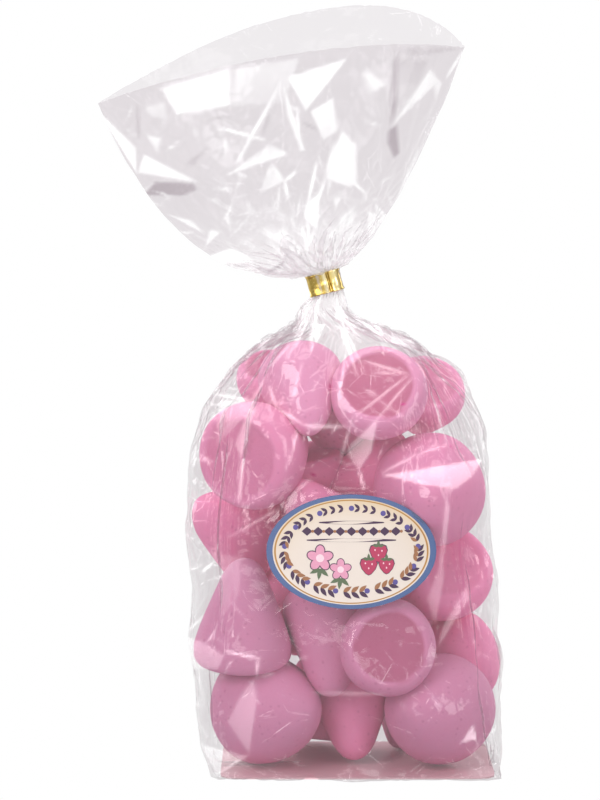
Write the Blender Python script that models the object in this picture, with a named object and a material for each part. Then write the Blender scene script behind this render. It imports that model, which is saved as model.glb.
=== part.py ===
"""A clear gusseted bag of pink meringue cookies, tied at the neck, with a blank oval label.

Blender 4.5 script, in metres, +Z up. The front of the bag faces -Y, and the origin is the middle of the base.
The filled bag, the open frill above the tie, the metal tie band and the label are separate solids.
"""

import math

import bmesh
import bpy
import numpy as np

MM = 0.001

# The base of the bag, held square by a card
BASE_WIDTH = 106.5 * MM
BASE_DEPTH = 68.0 * MM

# Filled bag, from the base to the shoulders: height, left side, right side, half depth, squareness.
# Squareness is the exponent of a superellipse: 2 is an ellipse, and a high number is nearly a rectangle.
BODY_SECTIONS = (
    (0.0, -52.5, 54.0, 34.0, 16.0),
    (9.0, -57.5, 54.8, 35.0, 9.0),
    (26.0, -60.0, 56.0, 36.0, 5.0),
    (50.0, -63.5, 56.0, 37.0, 3.8),
    (70.0, -61.5, 54.2, 37.3, 3.4),
    (88.0, -64.5, 51.8, 37.0, 3.2),
    (112.0, -63.0, 51.5, 35.5, 2.9),
    (130.0, -59.5, 48.7, 32.0, 2.6),
    (146.0, -52.5, 40.0, 26.0, 2.4),
    (157.0, -43.0, 30.0, 19.0, 2.2),
    (163.5, -33.5, 21.5, 13.5, 2.1),
    (167.0, -24.5, 12.0, 9.5, 2.0),
    (171.0, -22.2, 1.5, 7.0, 2.0),
    (175.5, -20.4, -3.0, 5.0, 2.0),
)
BODY_RINGS = 34
# How far the rings crowd towards the base and the shoulders, where the form turns quickly
CROWD_TO_SHOULDERS = 0.035
CROWD_TO_BOTH = 0.045

# The tie band: a flat strip of metal bent round the gathered neck
TIE_CENTRE = (-11.5 * MM, 0.0, 184.5 * MM)
TIE_TILT = math.radians(15.0)
TIE_HEIGHT = 8.0 * MM
TIE_STRIP = 0.5 * MM
NECK_HALF_WIDTH = 5.8 * MM
NECK_HALF_DEPTH = 2.6 * MM
NECK_SQUARENESS = 2.4
NECK_FLARE = 1.12
NECK_FLARE_HEIGHT = 1.2 * MM
TIE_RIM = 0.6 * MM
TIE_LIP = 0.35 * MM
GAP = 0.3 * MM

# The frill: the open mouth of the bag above the tie, a wide flattened cup that leans left
FRILL_WALL = 0.8 * MM
FRILL_ROWS = 15
FRILL_ROW_CROWDING = 1.15
LEFT_TIP = (-97.5 * MM, 0.0, 252.0 * MM)
RIGHT_TIP = (42.0 * MM, 0.0, 274.5 * MM)
BACK_CREST = (-22.0 * MM, 24.0 * MM, 287.0 * MM)
FRONT_CREST = (-24.0 * MM, -26.0 * MM, 272.0 * MM)
CREST_SHARPNESS = 1.15
LEFT_BULGE = (-71.0 * MM, 0.0, 184.0 * MM)
RIGHT_BULGE = (16.0 * MM, 0.0, 203.0 * MM)
BULGE_HALF_DEPTH = 40.0 * MM
FOLD_COUNT = 8
FOLD_DEPTH = 1.6 * MM
FOLD_TWIST = 2.0
FOLD_REACH = 1.6

# The oval label on the front
LABEL_CENTRE = (-1.9 * MM, -37.7 * MM, 86.9 * MM)
LABEL_HALF_WIDTH = 31.5 * MM
LABEL_HALF_HEIGHT = 21.4 * MM
LABEL_THICKNESS = 0.4 * MM
LABEL_BEND_RADIUS = 260.0 * MM
LABEL_SEGMENTS = 48
LABEL_RINGS = 4

# Where meringues press the film outwards: x, y, z of the middle of each one, front layer first
MERINGUE_RADIUS = 20.0 * MM
MERINGUES = (
    (-36, -12, 21), (-1, 3, 22), (33, -9, 22), (12, -22, 49), (-9, -6, 50), (-42, -14, 54),
    (33, 3, 74), (27, -12, 107), (-37, -14, 120), (9, -10, 143), (-20, -9, 143), (38, 15, 38),
    (-42, 13, 95), (-36, 8, 143), (30, 6, 135), (6, 10, 110), (-9, -10, 90),
    (-22, 18, 19), (16, 18, 18), (-34, 19, 53), (7, 19, 70), (-13, 16, 124), (-12, 19, 97),
)
FURROW_DEPTH = 6.0 * MM
FURROW_REACH = 7.5 * MM

# Points along each panel of the bag, so that every ring has one at each folded corner
FRONT_STEPS = 17
SIDE_STEPS = 11

FILM_COLOUR = (0.90, 0.86, 0.89, 1.0)
FILLED_COLOUR = (0.62, 0.29, 0.41, 1.0)
GOLD_COLOUR = (0.83, 0.62, 0.20, 1.0)
LABEL_COLOUR = (0.78, 0.72, 0.62, 1.0)


def clear_scene():
    for obj in list(bpy.data.objects):
        bpy.data.objects.remove(obj)


def make_material(name, colour, roughness, metallic=0.0):
    material = bpy.data.materials.new(name)
    material.use_nodes = True
    shader = material.node_tree.nodes["Principled BSDF"]
    shader.inputs["Base Color"].default_value = colour
    shader.inputs["Roughness"].default_value = roughness
    shader.inputs["Metallic"].default_value = metallic
    return material


def add_object(name, mesh, material):
    mesh.materials.append(material)
    obj = bpy.data.objects.new(name, mesh)
    bpy.context.scene.collection.objects.link(obj)
    return obj


def smooth_step(low, high, value):
    share = np.clip((value - low) / (high - low), 0.0, 1.0)
    return share * share * (3.0 - 2.0 * share)


def curve_through(points, values, at):
    """A smooth curve through the values given at rising points, with no overshoot between them."""
    points = np.asarray(points, float)
    values = np.asarray(values, float)
    step = np.diff(points)
    slope = np.diff(values) / step
    tangent = np.zeros(len(points))
    tangent[0] = slope[0]
    tangent[-1] = slope[-1]
    same_way = slope[:-1] * slope[1:] > 0
    mean = 2.0 * slope[:-1] * slope[1:] / np.where(same_way, slope[:-1] + slope[1:], 1.0)
    tangent[1:-1] = np.where(same_way, mean, 0.0)
    k = np.clip(np.searchsorted(points, at, side="right") - 1, 0, len(step) - 1)
    t = (at - points[k]) / step[k]
    before = (2 * t**3 - 3 * t**2 + 1) * values[k] + (t**3 - 2 * t**2 + t) * step[k] * tangent[k]
    after = (3 * t**2 - 2 * t**3) * values[k + 1] + (t**3 - t**2) * step[k] * tangent[k + 1]
    return before + after


def panel_directions():
    """Points on the outline of a unit square, evenly spaced round the base, from the front left corner."""
    front = np.linspace(-1.0, 1.0, FRONT_STEPS + 1)[:-1]
    side = np.linspace(-1.0, 1.0, SIDE_STEPS + 1)[:-1]
    x = np.concatenate([front, np.ones(SIDE_STEPS), -front, -np.ones(SIDE_STEPS)])
    y = np.concatenate([-np.ones(FRONT_STEPS), side, np.ones(FRONT_STEPS), -side])
    return x, y


def superellipse(x, y, squareness):
    """Moves points of the unit square's outline onto a superellipse that fits in it."""
    radius = (np.abs(x) ** squareness + np.abs(y) ** squareness) ** (1.0 / squareness)
    return x / radius, y / radius


def label_back(x):
    """Y of the label's back face, which bends with the front of the bag."""
    return LABEL_CENTRE[1] + LABEL_THICKNESS + (x - LABEL_CENTRE[0]) ** 2 / (2.0 * LABEL_BEND_RADIUS)


def label_share(x, z):
    """1 under the label, falling to 0 a little outside its edge."""
    reach = np.hypot((x - LABEL_CENTRE[0]) / LABEL_HALF_WIDTH, (z - LABEL_CENTRE[2]) / LABEL_HALF_HEIGHT)
    return 1.0 - smooth_step(1.12, 1.55, reach)


def pressed_share(points):
    """How much a meringue behind each point of the film holds it out: 1 right over one, 0 in a furrow."""
    centres = np.array(MERINGUES, float) * MM
    distance = np.linalg.norm(points[:, None, :] - centres[None, :, :], axis=2) - MERINGUE_RADIUS
    nearest = np.clip(distance.min(axis=1), 0.0, None)
    return np.exp(-((nearest / FURROW_REACH) ** 2))


def body_ring(height, x_share, y_share):
    table = np.array(BODY_SECTIONS, float)
    left, right, depth = (curve_through(table[:, 0], table[:, i], height / MM) * MM for i in (1, 2, 3))
    squareness = curve_through(table[:, 0], table[:, 4], height / MM)
    x, y = superellipse(x_share, y_share, squareness)
    centre = (left + right) / 2.0
    points = np.stack([centre + x * (right - left) / 2.0, y * depth, np.full(len(x), height)], axis=1)
    filled = smooth_step(4 * MM, 22 * MM, height) * (1.0 - smooth_step(150 * MM, 168 * MM, height))
    outward = np.stack([x, y * BASE_WIDTH / BASE_DEPTH, np.zeros(len(x))], axis=1)
    outward /= np.linalg.norm(outward, axis=1, keepdims=True)
    points -= outward * (FURROW_DEPTH * filled * (1.0 - pressed_share(points)))[:, None]
    share = label_share(points[:, 0], points[:, 2]) * (points[:, 1] < 0)
    points[:, 1] += share * (label_back(points[:, 0]) + GAP - points[:, 1])
    return points


def neck_ring(along, half_width, half_depth, x_share, y_share):
    """An oval section of the neck, a given way along the leaning axis of the tie."""
    x, y = superellipse(x_share, y_share, NECK_SQUARENESS)
    across = np.array([math.cos(TIE_TILT), 0.0, math.sin(TIE_TILT)])
    axis = np.array([-math.sin(TIE_TILT), 0.0, math.cos(TIE_TILT)])
    depth = np.array([0.0, 1.0, 0.0])
    middle = np.array(TIE_CENTRE) + axis * along
    return middle + np.outer(x * half_width, across) + np.outer(y * half_depth, depth)


def mesh_from_rings(name, rings, close_top):
    """A skin through closed rings of equal length, capped at the bottom and, if asked, at the top."""
    bm = bmesh.new()
    loops = [[bm.verts.new(point) for point in ring] for ring in rings]
    count = len(loops[0])
    for lower, upper in zip(loops, loops[1:]):
        for i in range(count):
            j = (i + 1) % count
            bm.faces.new((lower[i], lower[j], upper[j], upper[i]))
    bm.faces.new(list(reversed(loops[0])))
    if close_top:
        bm.faces.new(loops[-1])
    mesh = bpy.data.meshes.new(name)
    bm.to_mesh(mesh)
    bm.free()
    return mesh


def add_bag_body():
    x_share, y_share = panel_directions()
    top = BODY_SECTIONS[-1][0] * MM
    even = np.linspace(0.0, 1.0, BODY_RINGS)
    turns = 2.0 * math.pi * even
    crowding = CROWD_TO_SHOULDERS * np.sin(turns) + CROWD_TO_BOTH * np.sin(2.0 * turns)
    rings = [body_ring(height, x_share, y_share) for height in top * (even - crowding)]
    half = TIE_HEIGHT / 2.0
    for along, widen in ((-half - NECK_FLARE_HEIGHT, NECK_FLARE), (-half - GAP, 1.0), (half, 1.0)):
        rings.append(neck_ring(along, NECK_HALF_WIDTH * widen, NECK_HALF_DEPTH * widen, x_share, y_share))
    mesh = mesh_from_rings("bag_body", rings, close_top=True)
    material = make_material("filled_film", FILLED_COLOUR, 0.35)
    obj = add_object("bag_body", mesh, material)
    mesh.shade_smooth()
    mesh.set_sharp_from_angle(angle=math.radians(50))
    return obj


def quadratic(start, control, end, share):
    return (1 - share) ** 2 * start + 2 * share * (1 - share) * control + share**2 * end


def frill_ring(share, x_share, y_share):
    """One ring of the frill: share 0 is the gathered neck and 1 the open edge."""
    start = neck_ring(TIE_HEIGHT / 2.0 + GAP, NECK_HALF_WIDTH, NECK_HALF_DEPTH, x_share, y_share)
    turn = np.arctan2(y_share * BASE_DEPTH, x_share * BASE_WIDTH)
    side = np.cos(turn)
    front_back = np.sin(turn)
    tips = np.array([LEFT_TIP, RIGHT_TIP])
    middle = tips.mean(axis=0)
    half_tips = (tips[1] - tips[0]) / 2.0
    crest = np.where(front_back[:, None] > 0, np.array(BACK_CREST) - middle, np.array(FRONT_CREST) - middle)
    end = middle + np.outer(side, half_tips) + crest * (np.abs(front_back) ** CREST_SHARPNESS)[:, None]
    bulges = np.array([LEFT_BULGE, RIGHT_BULGE])
    control = bulges.mean(axis=0) + np.outer(side, (bulges[1] - bulges[0]) / 2.0)
    control[:, 1] += front_back * BULGE_HALF_DEPTH
    points = quadratic(start, control, end, share)
    outward = points - (np.array(TIE_CENTRE) * (1 - share) + middle * share)
    outward[:, 2] = 0.0
    outward /= np.linalg.norm(outward, axis=1, keepdims=True)
    gathered = math.sin(math.pi * min(share * FOLD_REACH, 1.0))
    fold = FOLD_DEPTH * gathered * np.cos(FOLD_COUNT * turn + FOLD_TWIST * share)
    return points + outward * fold[:, None]


def add_bag_frill():
    x_share, y_share = panel_directions()
    shares = np.linspace(0.0, 1.0, FRILL_ROWS) ** FRILL_ROW_CROWDING
    rings = [frill_ring(share, x_share, y_share) for share in shares]
    mesh = mesh_from_rings("bag_frill", rings, close_top=False)
    material = make_material("clear_film", FILM_COLOUR, 0.1)
    obj = add_object("bag_frill", mesh, material)
    wall = obj.modifiers.new("wall", "SOLIDIFY")
    wall.thickness = FRILL_WALL
    wall.offset = -1.0
    mesh.shade_smooth()
    return obj


def add_tie_band():
    """A ring of strip metal, rolled slightly outwards along both edges."""
    x_share, y_share = panel_directions()
    inner_width = NECK_HALF_WIDTH + GAP
    inner_depth = NECK_HALF_DEPTH + GAP
    half = TIE_HEIGHT / 2.0 - GAP
    proud = TIE_STRIP + TIE_LIP
    rolled = half - TIE_RIM
    flat = rolled - TIE_LIP
    profile = (
        (-half, 0.0), (-half, proud), (-rolled, proud), (-flat, TIE_STRIP),
        (flat, TIE_STRIP), (rolled, proud), (half, proud), (half, 0.0),
    )
    rings = [
        neck_ring(along, inner_width + out, inner_depth + out, x_share[::2], y_share[::2])
        for along, out in profile
    ]
    bm = bmesh.new()
    loops = [[bm.verts.new(point) for point in ring] for ring in rings]
    count = len(loops[0])
    for k in range(len(loops)):
        lower = loops[k]
        upper = loops[(k + 1) % len(loops)]
        for i in range(count):
            j = (i + 1) % count
            bm.faces.new((lower[i], lower[j], upper[j], upper[i]))
    bmesh.ops.recalc_face_normals(bm, faces=bm.faces)
    mesh = bpy.data.meshes.new("tie_band")
    bm.to_mesh(mesh)
    bm.free()
    obj = add_object("tie_band", mesh, make_material("gold_tie", GOLD_COLOUR, 0.22, 1.0))
    mesh.shade_smooth()
    mesh.set_sharp_from_angle(angle=math.radians(35))
    return obj


def add_label():
    """A thin oval plate that bends with the front of the bag."""
    bm = bmesh.new()
    angles = np.arange(LABEL_SEGMENTS) * 2.0 * math.pi / LABEL_SEGMENTS

    def ring(share, thickness):
        x = LABEL_CENTRE[0] + LABEL_HALF_WIDTH * share * np.cos(angles)
        z = LABEL_CENTRE[2] + LABEL_HALF_HEIGHT * share * np.sin(angles)
        y = label_back(x) - thickness
        return [bm.verts.new(point) for point in zip(x, y, z)]

    def middle(thickness):
        return bm.verts.new((LABEL_CENTRE[0], label_back(LABEL_CENTRE[0]) - thickness, LABEL_CENTRE[2]))

    shares = [(k + 1) / LABEL_RINGS for k in range(LABEL_RINGS)]
    front = [ring(share, LABEL_THICKNESS) for share in shares]
    back = [ring(share, 0.0) for share in shares]
    loops = front + back[::-1]
    for lower, upper in zip(loops, loops[1:]):
        for i in range(LABEL_SEGMENTS):
            j = (i + 1) % LABEL_SEGMENTS
            bm.faces.new((lower[i], lower[j], upper[j], upper[i]))
    for loop, centre in ((front[0], middle(LABEL_THICKNESS)), (back[0], middle(0.0))):
        for i in range(LABEL_SEGMENTS):
            bm.faces.new((loop[i], loop[(i + 1) % LABEL_SEGMENTS], centre))
    bmesh.ops.recalc_face_normals(bm, faces=bm.faces)
    mesh = bpy.data.meshes.new("label")
    bm.to_mesh(mesh)
    bm.free()
    obj = add_object("label", mesh, make_material("label_paper", LABEL_COLOUR, 0.4))
    mesh.shade_smooth()
    mesh.set_sharp_from_angle(angle=math.radians(35))
    return obj


clear_scene()
add_bag_body()
add_bag_frill()
add_tie_band()
add_label()
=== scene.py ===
"""A clear bag of pink meringue kisses: its film, meringues, base card, label and metal tie.

Blender 4.5 script, in metres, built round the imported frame. The front of the bag faces -Y.
Shapes are worked out in millimetres with numpy, and turned into metres when a mesh is made.
"""
import math

import bpy
import numpy as np
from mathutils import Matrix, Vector


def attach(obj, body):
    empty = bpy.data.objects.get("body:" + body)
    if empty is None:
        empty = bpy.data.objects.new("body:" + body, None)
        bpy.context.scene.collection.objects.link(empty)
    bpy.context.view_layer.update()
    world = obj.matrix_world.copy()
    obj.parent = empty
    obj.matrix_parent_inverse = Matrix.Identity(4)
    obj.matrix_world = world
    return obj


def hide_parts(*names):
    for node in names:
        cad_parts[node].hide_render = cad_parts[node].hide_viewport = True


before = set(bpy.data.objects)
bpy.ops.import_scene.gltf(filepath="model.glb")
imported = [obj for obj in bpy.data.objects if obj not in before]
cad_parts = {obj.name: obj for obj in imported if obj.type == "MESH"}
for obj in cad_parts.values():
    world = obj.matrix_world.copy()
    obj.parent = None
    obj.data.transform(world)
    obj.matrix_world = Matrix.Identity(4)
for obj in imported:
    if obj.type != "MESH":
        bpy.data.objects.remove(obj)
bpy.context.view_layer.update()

MM = 0.001

# Form of the bag, as in the solids: height, left side, right side, half depth, squareness
BODY_SECTIONS = (
    (0.0, -52.5, 54.0, 34.0, 16.0),
    (9.0, -57.5, 54.8, 35.0, 9.0),
    (26.0, -60.0, 56.0, 36.0, 5.0),
    (50.0, -63.5, 56.0, 37.0, 3.8),
    (70.0, -61.5, 54.2, 37.3, 3.4),
    (88.0, -64.5, 51.8, 37.0, 3.2),
    (112.0, -63.0, 51.5, 35.5, 2.9),
    (130.0, -59.5, 48.7, 32.0, 2.6),
    (146.0, -52.5, 40.0, 26.0, 2.4),
    (157.0, -43.0, 30.0, 19.0, 2.2),
    (163.5, -33.5, 21.5, 13.5, 2.1),
    (167.0, -24.5, 12.0, 9.5, 2.0),
    (171.0, -22.2, 1.5, 7.0, 2.0),
    (175.5, -20.4, -3.0, 5.0, 2.0),
)
BASE_WIDTH = 106.5
BASE_DEPTH = 68.0
GIRTH = 2.0 * (BASE_WIDTH + BASE_DEPTH)

# The tie and the gathered neck
TIE_CENTRE = np.array([-11.5, 0.0, 184.5])
TIE_TILT = math.radians(15.0)
TIE_HEIGHT = 8.0
NECK_HALF_WIDTH = 5.8
NECK_HALF_DEPTH = 2.6
NECK_SQUARENESS = 2.4
TIE_GROOVE = 1.6
TIE_BEAD = 4.3
TIE_BEAD_RADIUS = 2.2

# The frill above the tie
LEFT_TIP = np.array([-97.5, 0.0, 252.0])
RIGHT_TIP = np.array([41.5, 0.0, 273.0])
BACK_CREST = np.array([-12.0, 22.0, 288.4])
FRONT_CREST = np.array([-24.0, -22.0, 270.0])
# How much of the flattened width the front panel takes, and how the sheets bow between the folded edges
PANEL_SHARE = 0.76
LENS_POWER = 2.2
LEFT_BULGE = np.array([-71.0, 0.0, 184.0])
RIGHT_BULGE = np.array([16.0, 0.0, 203.0])
BULGE_HALF_DEPTH = 40.0

# The oval label
LABEL_CENTRE = np.array([-1.9, -37.7, 86.9])
LABEL_HALF_WIDTH = 31.5
LABEL_HALF_HEIGHT = 21.4
LABEL_THICKNESS = 0.4
LABEL_BEND_RADIUS = 260.0

# Meringues: the middle of the widest part, the way the tip points, size, profile, and shade from pale to strong.
# The ones that show best from the front come first. They keep their places, and the others make room.
MERINGUES = (
    ((-36.5, -11.0, 22.8), (0.72, -0.66, 0.10), 1.01, "plump", 0.45),
    ((-1.5, 4.0, 29.5), (0.04, -0.55, -0.835), 0.96, "cone", 0.80),
    ((33.0, -11.0, 22.8), (-0.42, -0.88, 0.12), 1.01, "plump", 0.40),
    ((11.9, -24.0, 49.2), (-0.08, 1.0, -0.19), 0.93, "plain", 0.42),
    ((-9.4, -1.0, 56.0), (-0.02, -0.50, -0.86), 0.95, "cone", 0.48),
    ((-42.5, -13.0, 51.0), (0.02, -0.15, 0.98), 0.98, "cone", 0.40),
    ((34.0, 3.0, 74.5), (-0.25, 0.82, -0.50), 0.90, "plump", 1.00),
    ((28.0, -6.0, 107.0), (0.02, -0.93, -0.02), 1.02, "plump", 0.62),
    ((-38.3, -16.0, 120.5), (0.50, 0.86, 0.05), 1.05, "plain", 0.72),
    ((8.6, -10.0, 143.5), (0.05, 0.85, -0.45), 0.93, "plain", 0.35),
    ((-20.5, -7.0, 147.5), (0.13, -0.75, -0.65), 0.84, "plain", 0.40),
    ((34.5, 16.0, 38.5), (0.22, -0.42, 0.88), 0.86, "plump", 0.90),
    ((-42.5, 15.0, 99.0), (0.12, 0.05, -0.97), 0.92, "plain", 0.90),
    ((-38.0, 10.0, 146.0), (0.05, 0.50, -0.86), 0.68, "plain", 0.50),
    ((30.5, 3.0, 137.5), (-0.10, 0.75, -0.65), 0.76, "plain", 0.70),
    ((8.5, 4.0, 112.5), (-0.93, -0.25, -0.22), 0.84, "plain", 0.95),
    ((-12.0, -11.0, 93.0), (-0.5, -0.3, 0.8), 0.88, "plain", 0.95),
    ((-14.0, 19.0, 19.0), (0.1, 0.2, 0.95), 0.86, "plain", 0.80),
    ((16.0, 18.0, 21.0), (0.9, 0.1, 0.2), 0.86, "plain", 0.45),
    ((-33.0, 17.0, 56.0), (0.3, 0.2, 0.9), 0.88, "plain", 0.80),
    ((28.0, 21.0, 60.0), (-0.95, 0.1, -0.1), 0.88, "plain", 0.90),
    ((-18.0, 10.0, 117.0), (0.1, 0.2, -0.95), 0.84, "plain", 0.85),
    ((-24.0, 19.0, 101.0), (0.7, -0.3, 0.5), 0.82, "plain", 0.90),
    ((-5.0, 15.0, 127.0), (0.1, 0.3, -0.95), 0.80, "plain", 0.60),
    ((3.0, 16.0, 84.0), (0.95, 0.1, 0.2), 0.80, "plain", 0.75),
)
FRONT_COUNT = 11
TRAVEL = 6.0

# Profiles of a piped kiss, from the middle of its flat base to its tip: radius, height
PROFILES = {
    "plain": (
        (0.0, 0.0), (8.0, 0.0), (14.6, 0.0), (17.2, 1.4), (18.9, 4.4), (19.6, 8.6), (18.9, 13.4), (16.6, 19.0),
        (13.6, 25.0), (10.5, 31.0), (7.6, 36.2), (4.6, 40.0), (2.2, 41.6), (0.0, 42.2),
    ),
    "plump": (
        (0.0, 0.0), (8.0, 0.0), (14.8, 0.0), (17.8, 1.6), (19.9, 5.0), (20.9, 10.2), (20.4, 15.8), (18.6, 21.4),
        (15.6, 26.8), (11.8, 31.4), (8.2, 34.8), (4.8, 37.0), (2.3, 38.2), (0.0, 38.6),
    ),
    "cone": (
        (0.0, 0.0), (8.0, 0.0), (15.4, 0.0), (17.8, 1.0), (19.0, 3.4), (19.0, 6.6), (17.8, 11.2), (15.6, 17.4),
        (13.1, 23.8), (10.6, 30.0), (8.1, 35.8), (5.2, 39.8), (2.6, 41.4), (0.0, 42.0),
    ),
    "pulled": (
        (0.0, 0.0), (8.0, 0.0), (14.4, 0.0), (17.0, 1.4), (18.6, 4.4), (19.2, 8.4), (18.2, 13.0), (15.0, 18.6),
        (10.8, 24.6), (7.6, 31.0), (5.6, 37.0), (3.9, 41.4), (2.0, 43.6), (0.0, 44.2),
    ),
}
BELLY_HEIGHT = 10.0
CLEARANCE = 0.15
WALL_ROOM = 1.2
CARD_TOP = 1.4
TOP_OF_FILLING = 167.0
BASE_DISC = 14.2
# Painted shade for the light that falls off lower in the bag: how much darker the meringues under the lower height are,
# fading to none at the upper one. A strong shade is spared.
PAINTED_SHADE = 0.30
PAINTED_SHADE_NONE_ABOVE = 160.0
PAINTED_SHADE_FULL_BELOW = 60.0
# Specks of undissolved colour, by where they show in the picture
FLECKS = ((403, 404), (449, 446), (473, 420), (314, 475), (330, 387))

# Resolution of the film: points round the bag, and rows up the body, through the tie and up the frill
COLUMNS = 192
BODY_ROWS = 116
NECK_ROWS = 8
FRILL_ROWS = 64
# How much of the film's width its folds may take up, by its place: 0-1 body, 1-2 neck, 2-3 frill
GATHER = ((0.0, 1.2), (0.80, 1.2), (0.95, 2.3), (2.05, 2.3), (2.2, 1.35), (2.4, 1.04), (2.6, 1.0), (3.0, 1.0))
# How firmly the film is held to its form, by place
HOLD = ((0.0, 0.004), (2.0, 0.003), (2.35, 0.004), (2.6, 0.03), (3.0, 0.06))
FILM_GAP = 1.1
# Facets of the crumpled film: how wide, and how steep
CREASES = ((42.0, 0.13), (24.0, 0.14), (13.0, 0.12), (7.5, 0.09))
CREASE_AMOUNT = ((0.0, 0.6), (0.9, 0.6), (0.97, 0.3), (2.05, 0.4), (2.2, 1.1), (2.5, 0.7), (2.7, 0.4), (3.0, 0.3))
# How white the film is: where the folds crowd together at the tie, which turns the film white there, and as a painted
# sheen over the shoulders below it
VEIL_AND_PAINTED_SHEEN = ((0.0, 0.0), (0.6, 0.0), (0.8, 0.2), (0.96, 0.7), (1.0, 1.0), (2.0, 1.0), (2.2, 0.7), (2.4, 0.2), (2.6, 0.0), (3.0, 0.0))

# Painted highlights of the film, by where they show in the 600 by 800 picture of the front: how bright the highlight
# is, the share of that left at its far side, and its corners, with the bright edge first. Two corners make a line.
FRILL_PAINTED_HIGHLIGHTS = (
    (0.9, 0.8, 162, 89, 228, 69, 229, 105, 176, 114), (0.4, 0.5, 235, 68, 299, 57, 284, 102, 231, 106),
    (0.95, 0.7, 288, 77, 346, 59, 306, 110), (0.7, 0.7, 283, 83, 305, 151, 301, 151, 287, 115),
    (0.75, 0.6, 311, 111, 333, 98, 339, 130, 324, 140),
    (0.7, 0.8, 343, 131, 356, 145, 358, 182, 350, 188, 326, 179, 335, 148),
    (0.7, 0.3, 364, 68, 386, 84, 371, 93), (0.6, 0.7, 431, 69, 382, 141, 390, 128, 437, 83),
    (0.5, 0.4, 432, 70, 442, 84, 436, 102), (0.9, 0.5, 99, 112, 136, 172, 136, 148),
    (0.9, 0.5, 144, 155, 195, 182, 137, 173), (0.7, 0.4, 227, 175, 288, 154, 269, 144),
    (0.6, 0.6, 146, 135, 160, 138, 157, 153), (0.8, 0.8, 222, 138, 227, 145, 225, 154),
    (0.35, 0.6, 144, 107, 163, 102, 167, 120, 150, 116), (0.5, 0.5, 268, 167, 284, 182, 259, 194),
    (1.0, 1.0, 307, 204, 320, 194, 317, 230, 304, 217), (0.8, 0.6, 357, 209, 353, 224, 335, 240, 325, 237),
    (0.7, 0.6, 368, 212, 377, 214, 376, 230, 368, 245), (0.6, 0.5, 376, 204, 391, 219, 377, 231),
    (0.8, 0.5, 171, 216, 203, 233, 192, 221), (0.7, 0.7, 210, 230, 219, 233, 205, 247),
    (0.95, 0.6, 200, 259, 231, 249, 246, 255, 256, 263, 223, 264), (0.6, 0.6, 233, 268, 256, 267, 264, 276),
    (0.7, 0.7, 274, 235, 284, 230, 292, 245), (0.8, 0.8, 315, 259, 322, 260, 320, 270),
    (0.7, 0.7, 335, 199, 341, 198, 335, 212), (0.6, 0.6, 213, 189, 228, 188, 232, 193),
    (0.8, 1.0, 220, 128, 264, 140), (0.9, 1.0, 280, 84, 237, 162), (0.7, 1.0, 297, 110, 300, 148),
    (0.8, 1.0, 271, 166, 284, 182), (0.8, 1.0, 284, 182, 296, 172), (0.8, 1.0, 284, 182, 288, 199),
    (0.9, 1.0, 317, 163, 308, 204), (0.9, 1.0, 326, 179, 311, 219), (0.7, 1.0, 335, 143, 326, 176),
    (0.9, 1.0, 311, 258, 366, 246), (0.8, 1.0, 225, 216, 229, 224), (0.7, 1.0, 259, 230, 284, 245),
    (0.7, 1.0, 269, 242, 292, 265), (0.8, 1.0, 302, 258, 292, 240), (0.8, 1.0, 304, 255, 315, 230),
    (0.7, 1.0, 347, 176, 366, 194), (0.6, 1.0, 419, 149, 390, 217), (0.6, 1.0, 463, 51, 447, 77),
)
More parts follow.
